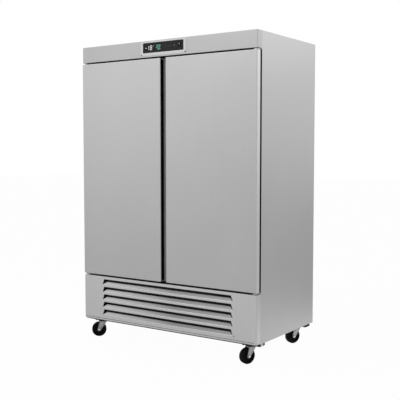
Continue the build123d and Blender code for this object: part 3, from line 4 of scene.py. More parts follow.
import bmesh
import bpy
import numpy as np
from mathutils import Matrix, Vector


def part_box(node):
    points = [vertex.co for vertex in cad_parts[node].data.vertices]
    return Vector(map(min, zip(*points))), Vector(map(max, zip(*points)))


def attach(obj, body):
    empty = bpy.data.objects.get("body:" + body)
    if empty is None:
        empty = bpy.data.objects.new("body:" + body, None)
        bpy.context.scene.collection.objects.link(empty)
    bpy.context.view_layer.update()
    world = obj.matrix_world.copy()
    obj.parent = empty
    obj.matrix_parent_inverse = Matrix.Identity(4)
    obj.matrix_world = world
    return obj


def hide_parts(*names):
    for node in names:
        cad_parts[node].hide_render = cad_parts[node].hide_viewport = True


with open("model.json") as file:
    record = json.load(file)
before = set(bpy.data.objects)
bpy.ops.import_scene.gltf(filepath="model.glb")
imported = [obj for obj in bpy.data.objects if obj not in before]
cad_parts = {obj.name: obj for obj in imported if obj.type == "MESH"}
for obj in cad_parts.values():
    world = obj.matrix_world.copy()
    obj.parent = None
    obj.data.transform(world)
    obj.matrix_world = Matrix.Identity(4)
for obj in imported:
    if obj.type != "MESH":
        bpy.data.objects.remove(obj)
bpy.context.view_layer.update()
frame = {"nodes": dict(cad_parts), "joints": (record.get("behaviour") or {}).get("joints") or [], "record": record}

# Two-door reach-in freezer: finishes, fasteners, control markings, seals and shelves
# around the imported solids, in metres. +Z is up and the doors face -Y.


# Surfaces

def ring_faces(rings, points):
    """Quads between neighbours on a stack of closed rings: ring i joins ring i + 1."""
    i, j = np.meshgrid(np.arange(rings - 1), np.arange(points), indexing="ij")
    k = (j + 1) % points
    low, high = i * points, (i + 1) * points
    return np.stack([low + j, low + k, high + k, high + j], axis=-1).reshape(-1, 4)


def turned(profile, sides=32):
    """A profile of (radius r, height h) goes round Z: (r cos a, r sin a, h)."""
    radius, height = np.asarray(profile, float).T
    angle = np.linspace(0, 2 * np.pi, sides, endpoint=False)
    return np.stack([
        np.outer(radius, np.cos(angle)),
        np.outer(radius, np.sin(angle)),
        np.repeat(height[:, None], sides, axis=1),
    ], axis=-1)


def rounded_outline(width, height, radius, steps=8):
    """A rounded rectangle in X and Z: four quarter circles about points set in from its corners."""
    angle = np.linspace(0, np.pi / 2, steps)[None, :] + (np.arange(4) * np.pi / 2)[:, None]
    side_x = np.array([1, -1, -1, 1])[:, None] * (width / 2 - radius)
    side_z = np.array([1, 1, -1, -1])[:, None] * (height / 2 - radius)
    x = side_x + radius * np.cos(angle)
    z = side_z + radius * np.sin(angle)
    outward = np.stack([np.cos(angle), np.sin(angle)], axis=-1)
    return np.stack([x, z], axis=-1).reshape(-1, 2), outward.reshape(-1, 2)


def slab(outline, depth, edge=0.0):
    """A convex outline in X and Z carried from Y = 0 (front) back to Y = depth.

    The front ring is drawn in by a share of its distance to the middle, over twice that share of the
    depth, which eases the edge.
    """
    outline = np.asarray(outline, float)
    centre = np.repeat(outline.mean(axis=0)[None, :], len(outline), axis=0)
    drawn_in = outline + (centre - outline) * edge
    rings = [centre, drawn_in, outline, outline, centre]
    depths = [0.0, 0.0, depth * edge * 2, depth, depth]
    return np.stack([
        np.stack([ring[:, 0], np.full(len(ring), y), ring[:, 1]], axis=-1)
        for ring, y in zip(rings, depths)
    ])


def carried(section, outline, outward):
    """A closed section of (out, back) pairs carried round a closed outline in X and Z.

    Each point stands off the outline by out along its outward direction, and lies back along Y.
    """
    out, back = np.asarray(section, float).T
    around = np.arange(len(outline) + 1) % len(outline)
    path, away = outline[around], outward[around]
    x = path[:, None, 0] + away[:, None, 0] * out[None, :]
    z = path[:, None, 1] + away[:, None, 1] * out[None, :]
    return np.stack([x, np.repeat(back[None, :], len(path), axis=0), z], axis=-1)


NEARLY_UPRIGHT = 0.9  # rise of a bar's direction from which X, not Z, helps to find its sides


def rods(starts, ends, radius, sides=10):
    """Round bars: a circle across each line from start to end, at both ends, closed at the line."""
    starts, ends = np.asarray(starts, float), np.asarray(ends, float)
    along = ends - starts
    along /= np.linalg.norm(along, axis=1)[:, None]
    helper = np.where(np.abs(along[:, 2:3]) > NEARLY_UPRIGHT, [[1.0, 0, 0]], [[0, 0, 1.0]])
    one = np.cross(along, helper)
    one /= np.linalg.norm(one, axis=1)[:, None]
    two = np.cross(along, one)
    angle = np.linspace(0, 2 * np.pi, sides, endpoint=False)
    circle = radius * (one[:, None] * np.cos(angle)[:, None] + two[:, None] * np.sin(angle)[:, None])
    ends_of = np.stack([starts, starts, ends, ends], axis=1)[:, :, None, :]
    wide = np.array([0.0, 1.0, 1.0, 0.0])[None, :, None, None]
    return list(ends_of + wide * circle[:, None])


# Ways to turn a shape made on Z: the shape's Z goes to the named direction.
FRONTWARD = np.array([[1.0, 0, 0], [0, 0, -1.0], [0, 1.0, 0]])
BACKWARD = np.array([[-1.0, 0, 0], [0, 0, 1.0], [0, 1.0, 0]])
DOWNWARD = np.array([[1.0, 0, 0], [0, -1.0, 0], [0, 0, -1.0]])
AS_MADE = np.eye(3)


def copies(shape, places, turn=AS_MADE):
    """The same shape, turned and moved to each place."""
    return [shape @ turn.T + np.asarray(place, float) for place in places]


def tipped(angle):
    """The turn about X by an angle, which tips a shape's top towards -Y."""
    return np.array([
        [1, 0, 0], [0, math.cos(angle), -math.sin(angle)], [0, math.sin(angle), math.cos(angle)]])


def middle(low, high):
    """The middle of a box, from its low and high corners."""
    return (np.asarray(low, float) + np.asarray(high, float)) / 2


MERGE_WITHIN = 1e-6


def piece(name, stacks, finish, body, sharp=35):
    """One mesh of closed ring stacks: doubled points merge, and the faces turn outwards."""
    points = np.concatenate([s.reshape(-1, 3) for s in stacks])
    sizes = [s.shape[0] * s.shape[1] for s in stacks]
    starts = np.cumsum([0] + sizes[:-1])
    faces = np.concatenate([ring_faces(*s.shape[:2]) + n for s, n in zip(stacks, starts)])
    mesh = bpy.data.meshes.new(name)
    mesh.from_pydata(points.tolist(), [], faces.tolist())
    work = bmesh.new()
    work.from_mesh(mesh)
    bmesh.ops.remove_doubles(work, verts=work.verts, dist=MERGE_WITHIN)
    bmesh.ops.recalc_face_normals(work, faces=work.faces)
    work.to_mesh(mesh)
    work.free()
    mesh.polygons.foreach_set("use_smooth", np.ones(len(mesh.polygons), dtype=bool))
    mesh.set_sharp_from_angle(angle=math.radians(sharp))
    mesh.materials.append(finish)
    made = bpy.data.objects.new(name, mesh)
    bpy.context.collection.objects.link(made)
    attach(made, body)
    return made


# Shader nodes

def feed(tree, socket, value):
    """Links a socket to an output, or gives it a plain value."""
    if isinstance(value, bpy.types.NodeSocket):
        tree.links.new(value, socket)
    else:
        socket.default_value = value


def add_node(tree, kind, values=None, **settings):
    """A shader node with its settings, and with what goes into its sockets."""
    made = tree.nodes.new(kind)
    for key, value in settings.items():
        setattr(made, key, value)
    for key, value in (values or {}).items():
        feed(tree, made.inputs[key], value)
    return made


def maths(tree, operation, *values, clamp=False):
    """The result of one step of arithmetic on outputs or plain numbers."""
    made = add_node(tree, "ShaderNodeMath", dict(enumerate(values)), operation=operation,
                    use_clamp=clamp)
    return made.outputs[0]


def ramp(tree, value, from_low, from_high, to_low, to_high):
    """A value carried evenly from one range to another, and held at its ends."""
    made = add_node(tree, "ShaderNodeMapRange", {
        "Value": value, "From Min": from_low, "From Max": from_high, "To Min": to_low,
        "To Max": to_high})
    return made.outputs["Result"]


MIX_FACTOR, MIX_FIRST, MIX_SECOND, MIX_RESULT = 0, 6, 7, 2  # sockets of a mix node for colours


def blended(tree, factor, first, second):
    """A colour between two others."""
    made = add_node(tree, "ShaderNodeMix", data_type="RGBA")
    for place, value in ((MIX_FACTOR, factor), (MIX_FIRST, first), (MIX_SECOND, second)):
        feed(tree, made.inputs[place], value)
    return made.outputs[MIX_RESULT]


def shaded(colour, share=1.0):
    """A colour times a share, with full alpha."""
    return (*(min(1.0, c * share) for c in colour), 1.0)


def effect(name, inputs, output):
    """An empty shader node group with named inputs and one float output."""
    tree = bpy.data.node_groups.new(name, "ShaderNodeTree")
    for label, kind in inputs.items():
        tree.interface.new_socket(label, in_out="INPUT", socket_type=kind)
    tree.interface.new_socket(output, in_out="OUTPUT", socket_type="NodeSocketFloat")
    return tree, tree.nodes.new("NodeGroupInput").outputs, tree.nodes.new("NodeGroupOutput").inputs


def noise_effect(name, output, detail, roughness):
    """Noise on coordinates that are first multiplied by a stretch on each axis."""
    tree, given, result = effect(
        name, {"Vector": "NodeSocketVector", "Stretch": "NodeSocketVector"}, output)
    scaled = add_node(tree, "ShaderNodeVectorMath", {0: given["Vector"], 1: given["Stretch"]},
                      operation="MULTIPLY")
    noise = add_node(tree, "ShaderNodeTexNoise", {
        "Vector": scaled.outputs["Vector"], "Scale": 1.0, "Detail": detail, "Roughness": roughness})
    tree.links.new(noise.outputs["Fac"], result[output])
    return tree


brushed_grain = noise_effect("brushed_grain", "Streaks", 4.0, 0.65)
soft_stains = noise_effect("soft_stains", "Stain", 2.0, 0.5)
fine_pebble = noise_effect("fine_pebble", "Height", 1.0, 0.4)


def depth_effect():
    """How far a point lies behind a face that looks to -Y: 0 at the face, 1 at the reach. It places painted shade
    and painted highlight.

    It grows evenly less away from a middle, from a peak that is cut at 1. From a half width of x on,
    only a share of it is left.
    """
    numbers = ("Face", "Reach", "Middle", "Peak", "Fade", "Half Width", "Beyond")
    tree, given, result = effect(
        "depth_shade", {"Vector": "NodeSocketVector"} | dict.fromkeys(numbers, "NodeSocketFloat"),
        "Shade")
    parts = add_node(tree, "ShaderNodeSeparateXYZ", {0: given["Vector"]})
    x, y = parts.outputs["X"], parts.outputs["Y"]
    behind = maths(tree, "SUBTRACT", y, given["Face"])
    depth = maths(tree, "DIVIDE", behind, given["Reach"], clamp=True)
    aside = maths(tree, "ABSOLUTE", maths(tree, "SUBTRACT", x, given["Middle"]))
    faded = maths(tree, "DIVIDE", aside, given["Fade"])
    strong = maths(tree, "SUBTRACT", given["Peak"], faded, clamp=True)
    inside = maths(tree, "LESS_THAN", maths(tree, "ABSOLUTE", x), given["Half Width"])
    kept = maths(tree, "MULTIPLY", strong, maths(tree, "MAXIMUM", inside, given["Beyond"]))
    tree.links.new(maths(tree, "MULTIPLY", depth, kept), result["Shade"])
    return tree


depth_shade = depth_effect()


# Finishes

NOISE_LOW, NOISE_HIGH = 0.3, 0.7  # where noise mostly lies
METAL_STAINS = (1.7, 1.7, 1.1)  # stretches of the soft stains
MOULDED_STAINS = (9.0, 9.0, 6.0)
LENS_STAINS = (160.0, 160.0, 160.0)
METAL_SHEEN = 0.05  # how far the roughness goes to each side
MOULDED_DULLER, MOULDED_GLOSSIER = 0.06, 0.05
METAL_RELIEF, MOULDED_RELIEF = 0.0005, 0.0003  # heights of the relief
WORN_LENS = 0.85  # share of its colour that a lens keeps at its worn spots
LENS_ROUGHNESS = 0.35


def place_effect(tree, group, output, coordinates, values):
    """One use of an effect in a material, on the piece's own coordinates."""
    made = add_node(tree, "ShaderNodeGroup", node_tree=group)
    for label, value in {"Vector": coordinates, **values}.items():
        feed(tree, made.inputs[label], value)
    return made.outputs[output]


def blank(name):
    """A material with only its shader and output, and the piece's own coordinates."""
    made = bpy.data.materials.new(name)
    made.use_nodes = True
    tree = made.node_tree
    shader = tree.nodes["Principled BSDF"].inputs
    where = tree.nodes.new("ShaderNodeTexCoord").outputs["Object"]
    return made, tree, shader, where


def spread(tree, value, low, high):
    """Noise spread between two results."""
    return ramp(tree, value, NOISE_LOW, NOISE_HIGH, low, high)


def relief(tree, shader, height, strength, distance):
    """Fine relief on the shader's normal."""
    made = add_node(tree, "ShaderNodeBump", {
        "Height": height, "Strength": strength, "Distance": distance})
    tree.links.new(made.outputs["Normal"], shader["Normal"])


def metal_finish(name, colour, roughness, stretch, tone=0.05, depth=0.02, painted_light=None):
    """Rolled or brushed metal: streaks along the grain, and soft stains in its sheen.

    Painted light gives what lies behind a face a painted shade or a painted highlight: it gives the sockets of
    the depth effect by name, and the share of the tone there.
    """
    made, tree, shader, where = blank(name)
    streaks = place_effect(tree, brushed_grain, "Streaks", where, {"Stretch": stretch})
    stain = place_effect(tree, soft_stains, "Stain", where, {"Stretch": METAL_STAINS})
    both = maths(tree, "MULTIPLY_ADD", streaks, 0.5, maths(tree, "MULTIPLY", stain, 0.5))
    factor = spread(tree, both, 0.0, 1.0)
    shade = blended(tree, factor, shaded(colour, 1 - tone), shaded(colour, 1 + tone))
    # painted shade or painted highlight, by depth behind the face
    if painted_light:
        sockets, share = painted_light
        painted_amount = place_effect(tree, depth_shade, "Shade", where, sockets)
        shade = blended(tree, painted_amount, shade, shaded(colour, share))
    feed(tree, shader["Base Color"], shade)
    feed(tree, shader["Roughness"],
         spread(tree, both, roughness - METAL_SHEEN, roughness + METAL_SHEEN))
    feed(tree, shader["Metallic"], 1.0)
    relief(tree, shader, streaks, depth, METAL_RELIEF)
    return made


def moulded_finish(name, colour, roughness, pebble=900.0, tone=0.12, depth=0.08, gloss=0.5):
    """Moulded plastic, rubber, paint or foam: a fine pebble and a slight change of tone."""
    made, tree, shader, where = blank(name)
    height = place_effect(tree, fine_pebble, "Height", where, {"Stretch": (pebble,) * 3})
    stain = place_effect(tree, soft_stains, "Stain", where, {"Stretch": MOULDED_STAINS})
    factor = spread(tree, stain, 0.0, 1.0)
    feed(tree, shader["Base Color"],
         blended(tree, factor, shaded(colour, 1 - tone), shaded(colour, 1 + tone)))
    feed(tree, shader["Roughness"],
         spread(tree, stain, roughness - MOULDED_GLOSSIER, roughness + MOULDED_DULLER))
    feed(tree, shader["Specular IOR Level"], gloss)
    relief(tree, shader, height, depth, MOULDED_RELIEF)
    return made


def lit_finish(name, colour, strength):
    """A lit segment or lamp lens: coloured plastic that glows a little, less at its worn spots."""
    made, tree, shader, where = blank(name)
    stain = place_effect(tree, soft_stains, "Stain", where, {"Stretch": LENS_STAINS})
    shade = blended(tree, spread(tree, stain, 0.0, 1.0), shaded(colour, WORN_LENS), shaded(colour))
    feed(tree, shader["Base Color"], shade)
    feed(tree, shader["Emission Color"], shade)
    feed(tree, shader["Emission Strength"], strength)
    feed(tree, shader["Roughness"], LENS_ROUGHNESS)
    return made


UPRIGHT_GRAIN = (420.0, 420.0, 3.0)
LEVEL_GRAIN = (3.0, 420.0, 420.0)
FIN_GRAIN = (700.0, 5.0, 5.0)
SPANGLE = (30.0, 30.0, 30.0)
ZINC_GRAIN = (60.0, 60.0, 60.0)
TUBE_GRAIN = (90.0, 90.0, 90.0)
WIRE_GRAIN = (200.0, 200.0, 200.0)
finishes = {
    "stainless": metal_finish("brushed_stainless", (0.53, 0.53, 0.53), 0.40, UPRIGHT_GRAIN),
    "bezel_plastic": moulded_finish("silver_plastic", (0.44, 0.44, 0.44), 0.42, tone=0.03, gloss=0.25),
    "galvanised": metal_finish("galvanised_sheet", (0.46, 0.47, 0.48), 0.45, SPANGLE, 0.10),
    "foam": moulded_finish("cream_foam", (0.74, 0.66, 0.44), 0.85, 260.0, depth=0.3, gloss=0.2),
    "liner_sheet": metal_finish("liner_aluminium", (0.70, 0.71, 0.72), 0.36, LEVEL_GRAIN),
    "breaker_plastic": moulded_finish("dark_breaker", (0.010, 0.010, 0.0105), 0.5, gloss=0.12),
    "black_plastic": moulded_finish("black_plastic", (0.007, 0.007, 0.0075), 0.42, gloss=0.14),
    "display_plastic": moulded_finish("smoked_window", (0.005, 0.005, 0.006), 0.16, depth=0.0, gloss=0.2),
    "key_plastic": moulded_finish("grey_keys", (0.03, 0.03, 0.032), 0.45, gloss=0.2),
    "door_plastic": moulded_finish("white_liner", (0.72, 0.73, 0.73), 0.35, 500.0, tone=0.03),
    "gasket_rubber": moulded_finish("black_seal", (0.010, 0.010, 0.011), 0.6, gloss=0.2),
    "zinc_steel": metal_finish("zinc_plate", (0.22, 0.22, 0.225), 0.36, ZINC_GRAIN, 0.10),
    "black_steel": moulded_finish("black_enamel", (0.008, 0.008, 0.009), 0.38, 400.0, gloss=0.25),
    "wheel_rubber": moulded_finish("black_wheel", (0.003, 0.003, 0.0032), 0.50, gloss=0.08),
    "shelf_wire": metal_finish("bright_wire", (0.72, 0.73, 0.74), 0.22, WIRE_GRAIN),
    "fin_aluminium": metal_finish("coil_fins", (0.45, 0.46, 0.47), 0.42, FIN_GRAIN, 0.4, depth=0.5),
    "fan_plastic": moulded_finish("dark_blades", (0.015, 0.015, 0.016), 0.45, gloss=0.25),
    "copper": metal_finish("copper_tube", (0.50, 0.27, 0.17), 0.36, TUBE_GRAIN, 0.12),
    "lamp_plastic": moulded_finish("frosted_lamp", (0.82, 0.82, 0.80), 0.5, tone=0.02),
}
white_light = lit_finish("white_segments", (0.80, 0.81, 0.82), 0.35)
green_light = lit_finish("green_bars", (0.12, 0.36, 0.27), 0.35)
red_light = lit_finish("red_lens", (0.36, 0.16, 0.16), 0.30)
fork_zinc = metal_finish("fork_zinc", (0.34, 0.34, 0.345), 0.36, ZINC_GRAIN, 0.10)
# a lighter copy of the fork's zinc: painted highlight on the leg ribs
zinc_painted_highlight = metal_finish("zinc_painted_highlight", (0.46, 0.46, 0.465), 0.30, ZINC_GRAIN, 0.10)
polished_zinc = metal_finish("polished_zinc", (0.86, 0.86, 0.87), 0.28, ZINC_GRAIN, 0.06)
key_print = moulded_finish("key_print", (0.16, 0.16, 0.165), 0.5, gloss=0.2)

CORNERS = ("front_left", "front_right", "rear_left", "rear_right")
panel_low, panel_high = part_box("front_grille")
door_low, door_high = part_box("right_door_skin")
DOOR_PAINTED_HIGHLIGHT = ({  # painted highlight: the folded edges are brighter than the face
    "Face": door_low[1] + 0.001, "Reach": 0.004, "Middle": 0.0, "Peak": 1.0, "Fade": 100.0,
    "Half Width": 1.0, "Beyond": 0.0}, 1.27)
LOUVRE_PAINTED_SHADE = ({  # painted shade: the blades are darkest to the right, and the folded ends a little darker than the face
    "Face": panel_low[1], "Reach": 0.001, "Middle": 0.32, "Peak": 1.23, "Fade": 1.08,
    "Half Width": 0.55, "Beyond": 0.10}, 0.26)
# door stainless with a painted highlight on its folded edges
door_stainless_painted_highlight = metal_finish(
    "door_stainless_painted_highlight", (0.53, 0.53, 0.53), 0.40, UPRIGHT_GRAIN, painted_light=DOOR_PAINTED_HIGHLIGHT)
own_finish = {  # pieces whose sheet or plastic differs from the rest of their slot, and lighter and darker copies of the stainless that carry painted highlight and painted shade
    # a lighter copy of the stainless: painted highlight on the louvred face, with painted shade on the blades
    "front_grille": metal_finish(
        "louvred_stainless_painted_light", (0.64, 0.64, 0.64), 0.36, UPRIGHT_GRAIN, painted_light=LOUVRE_PAINTED_SHADE),
    # a darker copy of the stainless for the header: painted shade
    "header_panel": metal_finish("header_stainless_painted_shade", (0.465, 0.465, 0.465), 0.40, UPRIGHT_GRAIN),
    **{f"caster_fork_{corner}": fork_zinc for corner in CORNERS},
    "left_door_skin": door_stainless_painted_highlight,
    "right_door_skin": door_stainless_painted_highlight,
    "hinge_brackets": metal_finish("hinge_steel", (0.60, 0.60, 0.60), 0.40, LEVEL_GRAIN),
    "control_bezel": moulded_finish("silver_frame", (0.78, 0.78, 0.78), 0.42, tone=0.03, gloss=0.25),
    "control_fascia": moulded_finish("control_face", (0.020, 0.020, 0.020), 0.42, gloss=0.14),
}

for part in frame["record"]["subparts"]:
    mesh = frame["nodes"][part["node"]].data
    mesh.materials.clear()
    mesh.materials.append(own_finish.get(part["node"], finishes[part["material_slot"]]))


# Places taken from the solids

fascia_low, fascia_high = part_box("control_fascia")
control_z = middle(fascia_low, fascia_high)[2]
fascia_y = fascia_low[1]
bezel_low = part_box("control_bezel")[0]
rear_low, rear_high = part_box("rear_panel")
cover_low, cover_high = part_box("rear_grille")
window_low, window_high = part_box("display_window")
joints = {joint["name"]: joint for joint in frame["joints"]}
kingpins = {corner: np.array(joints[f"{corner}_swivel"]["pos_m"]) * (1, 1, 0) for corner in CORNERS}


# Fasteners

PAN_HEAD = [(0.0, 0.0008), (0.0011, 0.0008), (0.0012, 0.0017), (0.0027, 0.0016), (0.0036, 0.0011),
            (0.0040, 0.0003), (0.0040, -0.0004), (0.0, -0.0004)]
WASHER_THICK = 0.0012
WASHER = [(0.0, WASHER_THICK), (0.0082, WASHER_THICK), (0.0086, 0.0008), (0.0086, 0.0), (0.0, 0.0)]
HEX_HEAD = [(0.0, 0.0042), (0.0056, 0.0042), (0.0064, 0.0036), (0.0064, 0.0), (0.0, 0.0)]
BEZEL_SCREW_X, BEZEL_SCREW_UP = (-0.171, 0.174), 0.006
LOW_SCREWS = ((-0.572, 0.010), (0.533, 0.034))  # x, and height above the panel's lower edge
TOP_SCREW_X, TOP_SCREW_DOWN = (-0.572, 0.572), 0.018
REAR_COLUMNS, REAR_ROWS, REAR_INSET = 6, 7, 0.020
COVER_SHEET, COVER_INSET = 0.0012, 0.016  # rear cover's thickness, and its screws' margin
PLATE_THICK, BOLT_INSET = 0.004, 0.010  # of a caster's plate, which its kingpin is the middle of

pan_head = turned(PAN_HEAD, 24)
piece("bezel_screws", copies(pan_head, [
    (x, bezel_low[1], bezel_low[2] + BEZEL_SCREW_UP) for x in BEZEL_SCREW_X
], FRONTWARD), finishes["black_steel"], "cabinet")
piece("panel_screws", copies(pan_head, [
    (x, panel_low[1], panel_low[2] + up) for x, up in LOW_SCREWS
], FRONTWARD), finishes["zinc_steel"], "cabinet")
# the top screws take the louvred sheet's finish, with its painted highlight
piece("panel_top_screws", copies(pan_head, [
    (x, panel_low[1], panel_high[2] - TOP_SCREW_DOWN) for x in TOP_SCREW_X
], FRONTWARD), own_finish["front_grille"], "cabinet")

rear_x = np.linspace(rear_low[0] + REAR_INSET, rear_high[0] - REAR_INSET, REAR_COLUMNS)
rear_z = np.linspace(rear_low[2] + REAR_INSET, rear_high[2] - REAR_INSET, REAR_ROWS)
cover_y = cover_low[1] + COVER_SHEET
cover_z = (cover_low[2] + COVER_INSET, cover_high[2] - COVER_INSET)
rear_spots = [(x, rear_high[1], z) for x in rear_x for z in (rear_z[0], rear_z[-1])]
rear_spots += [(x, rear_high[1], z) for x in (rear_x[0], rear_x[-1]) for z in rear_z[1:-1]]
rear_spots += [(x, cover_y, z) for x in rear_x for z in cover_z]
piece("rear_screws", copies(pan_head, rear_spots, BACKWARD), finishes["zinc_steel"], "cabinet")

plate_low, plate_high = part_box("caster_plates")
plate_z = plate_high[2] - PLATE_THICK
bolt_x, bolt_y = (kingpins["front_left"] - plate_low)[:2] - BOLT_INSET
bolt_spots = [
    (pin_x + side_x * bolt_x, pin_y + side_y * bolt_y, plate_z)
    for pin_x, pin_y, _ in kingpins.values() for side_x in (-1, 1) for side_y in (-1, 1)
]
bolt_heads = copies(turned(HEX_HEAD, 6), [(x, y, z - WASHER_THICK) for x, y, z in bolt_spots], DOWNWARD)
piece("caster_bolts", bolt_heads + copies(turned(WASHER, 24), bolt_spots, DOWNWARD),
      finishes["zinc_steel"], "cabinet")


# Casters: a pressed rib on each fork leg, painted lighter than the leg as a highlight, a dome nut on each end of
# the axle, and dust rings

DOME_NUT = [(0.0, 0.0066), (0.0020, 0.0062), (0.0036, 0.0052), (0.0046, 0.0034), (0.0050, 0.0016),
            (0.0064, 0.0014), (0.0067, 0.0009), (0.0067, 0.0), (0.0, 0.0)]
LEG_FACE = 0.0220  # middle of the wheel to the outside of a leg
AXLE_END = 0.0270
RIB_LOW = (0.0205, 0.0640)  # trail and height of the ends of a rib's middle line
RIB_HIGH = (0.0040, 0.0985)
RIB_WIDTH, RIB_DEPTH, RIB_EDGE = 0.0090, 0.0024, 0.3
RIB_PROUD = 0.0018
RACE_SECTION = [(0.0280, 0.1148), (0.0310, 0.1148), (0.0316, 0.1130), (0.0316, 0.1102),
                (0.0302, 0.1082), (0.0280, 0.1082)]  # radius and height of the dust ring round a kingpin

dome_nut = turned(DOME_NUT, 20)
for corner, kingpin in kingpins.items():
    axle = np.array(joints[f"{corner}_roll"]["pos_m"])
    across = np.array(joints[f"{corner}_roll"]["axis"], float)
    trail = axle * (1, 1, 0) - kingpin
    trail /= np.linalg.norm(trail)
    low, high = (kingpin + trail * back + np.array([0, 0, up]) for back, up in (RIB_LOW, RIB_HIGH))
    length = np.linalg.norm(high - low)
    rib = slab(rounded_outline(RIB_WIDTH, length, RIB_WIDTH / 2)[0], RIB_DEPTH, RIB_EDGE)
    up_leg = (high - low) / length
    ribs, nuts = [], []
    for outward in (across, -across):
        rib_turn = np.stack([np.cross(up_leg, outward), -outward, up_leg], axis=1)
        nut_turn = np.stack([trail, np.cross(outward, trail), outward], axis=1)
        ribs += copies(rib, [middle(low, high) + outward * (LEG_FACE + RIB_PROUD)], rib_turn)
        nuts += copies(dome_nut, [axle + outward * AXLE_END], nut_turn)
    # the ribs carry a painted highlight
    piece(f"caster_rib_painted_highlight_{corner}", ribs, zinc_painted_highlight, f"{corner}_fork")
    piece(f"caster_nuts_{corner}", nuts, polished_zinc, f"{corner}_fork")

dust_ring = turned(RACE_SECTION + RACE_SECTION[:1], 40)
piece("caster_races", copies(dust_ring, kingpins.values()), finishes["black_steel"], "cabinet")


# Black rods beside the doors and a black strip under the lower panel's edge, as painted shade in the gaps there,
# and the seam of the lower panel

GAP_SHADE_RADIUS = 0.0020
GAP_SHADE_OVER = 0.005  # past each end of the doors
STRIP_INSET = 0.015  # from the panel's ends to those of the painted-shade strip under its edge, and of the seam
SHADE_STRIP_HEIGHT, SHADE_STRIP_ROUND, SHADE_STRIP_DEPTH, SHADE_STRIP_BACK = 0.0046, 0.0015, 0.010, 0.0008
SEAM_UP, SEAM_HEIGHT = 0.011, 0.0022
SEAM_ROUND, SEAM_DEPTH, SEAM_PROUD = 0.0005, 0.0008, 0.0003

side_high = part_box("right_side_panel")[1]
trim_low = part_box("breaker_strips")[0]
gap_shade_x = side_high[0] - GAP_SHADE_RADIUS
gap_shade_y = trim_low[1] + GAP_SHADE_RADIUS
# black rods along the side panels' front edges: painted shade in the gaps beside the doors
piece("door_gap_painted_shade", rods(
    [(x, gap_shade_y, door_low[2] - GAP_SHADE_OVER) for x in (-gap_shade_x, gap_shade_x)],
    [(x, gap_shade_y, door_high[2] + GAP_SHADE_OVER) for x in (-gap_shade_x, gap_shade_x)], GAP_SHADE_RADIUS, 16),
    finishes["gasket_rubber"], "cabinet", sharp=60)

panel_x = middle(panel_low, panel_high)[0]
strip_width = panel_high[0] - panel_low[0] - 2 * STRIP_INSET
shade_strip = slab(rounded_outline(strip_width, SHADE_STRIP_HEIGHT, SHADE_STRIP_ROUND, 4)[0], SHADE_STRIP_DEPTH) + np.array(
    [panel_x, panel_low[1] + SHADE_STRIP_BACK, panel_low[2] - SHADE_STRIP_HEIGHT / 2])
seam = slab(rounded_outline(strip_width, SEAM_HEIGHT, SEAM_ROUND, 4)[0], SEAM_DEPTH) + np.array(
    [panel_x, panel_low[1] - SEAM_PROUD, panel_low[2] + SEAM_UP])
# the black strip is painted shade under the panel's edge; the seam is a dark joint
piece("panel_seam_and_painted_shade", [shade_strip, seam], finishes["gasket_rubber"], "cabinet")


# Control markings

def segment(length, thickness):
    """One bar of a seven-bar digit: a long hexagon along X, in X and Z."""
    half, tip = length / 2, thickness / 2
    return np.array([(half, 0), (half - tip, tip), (tip - half, tip), (-half, 0), (tip - half, -tip),
                     (half - tip, -tip)])


MARK_DEPTH, MARK_PROUD = 0.0006, 0.0003
DIGIT = 0.0130  # half a digit's height, and its width
BAR_LENGTH, BAR_THICK = DIGIT * 0.94, 0.0036
BAR_PLACES = {  # middle of each bar in digit widths, and whether it stands upright
    "top": (0, 1, False), "upper_right": (0.5, 0.5, True), "lower_right": (0.5, -0.5, True),
    "bottom": (0, -1, False), "lower_left": (-0.5, -0.5, True), "upper_left": (-0.5, 0.5, True),
    "middle": (0, 0, False),
}
DISPLAYED = [  # place of each sign beside the window's middle, and its lit bars
    (-0.0290, ["middle"]),
    (-0.0140, ["upper_right", "lower_right"]),
    (0.0110, list(BAR_PLACES)),
]
DEGREE_SIZE, DEGREE_X, DEGREE_UP = 0.0052, 0.0290, DIGIT * 0.8
DEGREE_SECTION = [(0, 0.0003), (-0.0012, 0.0003), (-0.0012, -0.0003), (0, -0.0003)]

window_x = middle(window_low, window_high)[0]
lying = segment(BAR_LENGTH, BAR_THICK)
digit_bars = []
for digit_x, lit in DISPLAYED:
    for bar in lit:
        along, up, upright = BAR_PLACES[bar]
        outline = lying[:, ::-1] if upright else lying
        digit_bars += copies(slab(outline, MARK_DEPTH), [
            (window_x + digit_x + along * DIGIT, window_low[1] - MARK_PROUD, control_z + up * DIGIT)])
degree = rounded_outline(DEGREE_SIZE, DEGREE_SIZE, DEGREE_SIZE / 2)
digit_bars += copies(carried(DEGREE_SECTION, *degree), [
    (window_x + DEGREE_X, window_low[1], control_z + DEGREE_UP)])
piece("display_digits", digit_bars, white_light, "cabinet")

LEVEL_ROWS = [  # height, length and shift of each bar
    (0.0115, 0.034, 0.001), (0.0, 0.036, -0.001), (-0.0115, 0.026, 0.004)]
LEVEL_X, LEVEL_HEIGHT, LEVEL_ROUND = -0.038, 0.0055, 0.0027
level_bars = [
    slab(rounded_outline(length, LEVEL_HEIGHT, LEVEL_ROUND)[0], MARK_DEPTH)
    + np.array([LEVEL_X + shift, fascia_y - MARK_PROUD, control_z + up])
    for up, length, shift in LEVEL_ROWS
]
piece("level_bars", level_bars, green_light, "cabinet")

LENS = [(0, 0.0016), (0.0016, 0.0014), (0.0028, 0.0008), (0.0033, 0.0), (0.0033, -0.0005), (0, -0.0005)]
LAMP_X, LAMP_UP = 0.088, 0.002
piece("status_lamp", copies(turned(LENS, 24), [(LAMP_X, fascia_y, control_z + LAMP_UP)], FRONTWARD),
      red_light, "cabinet")

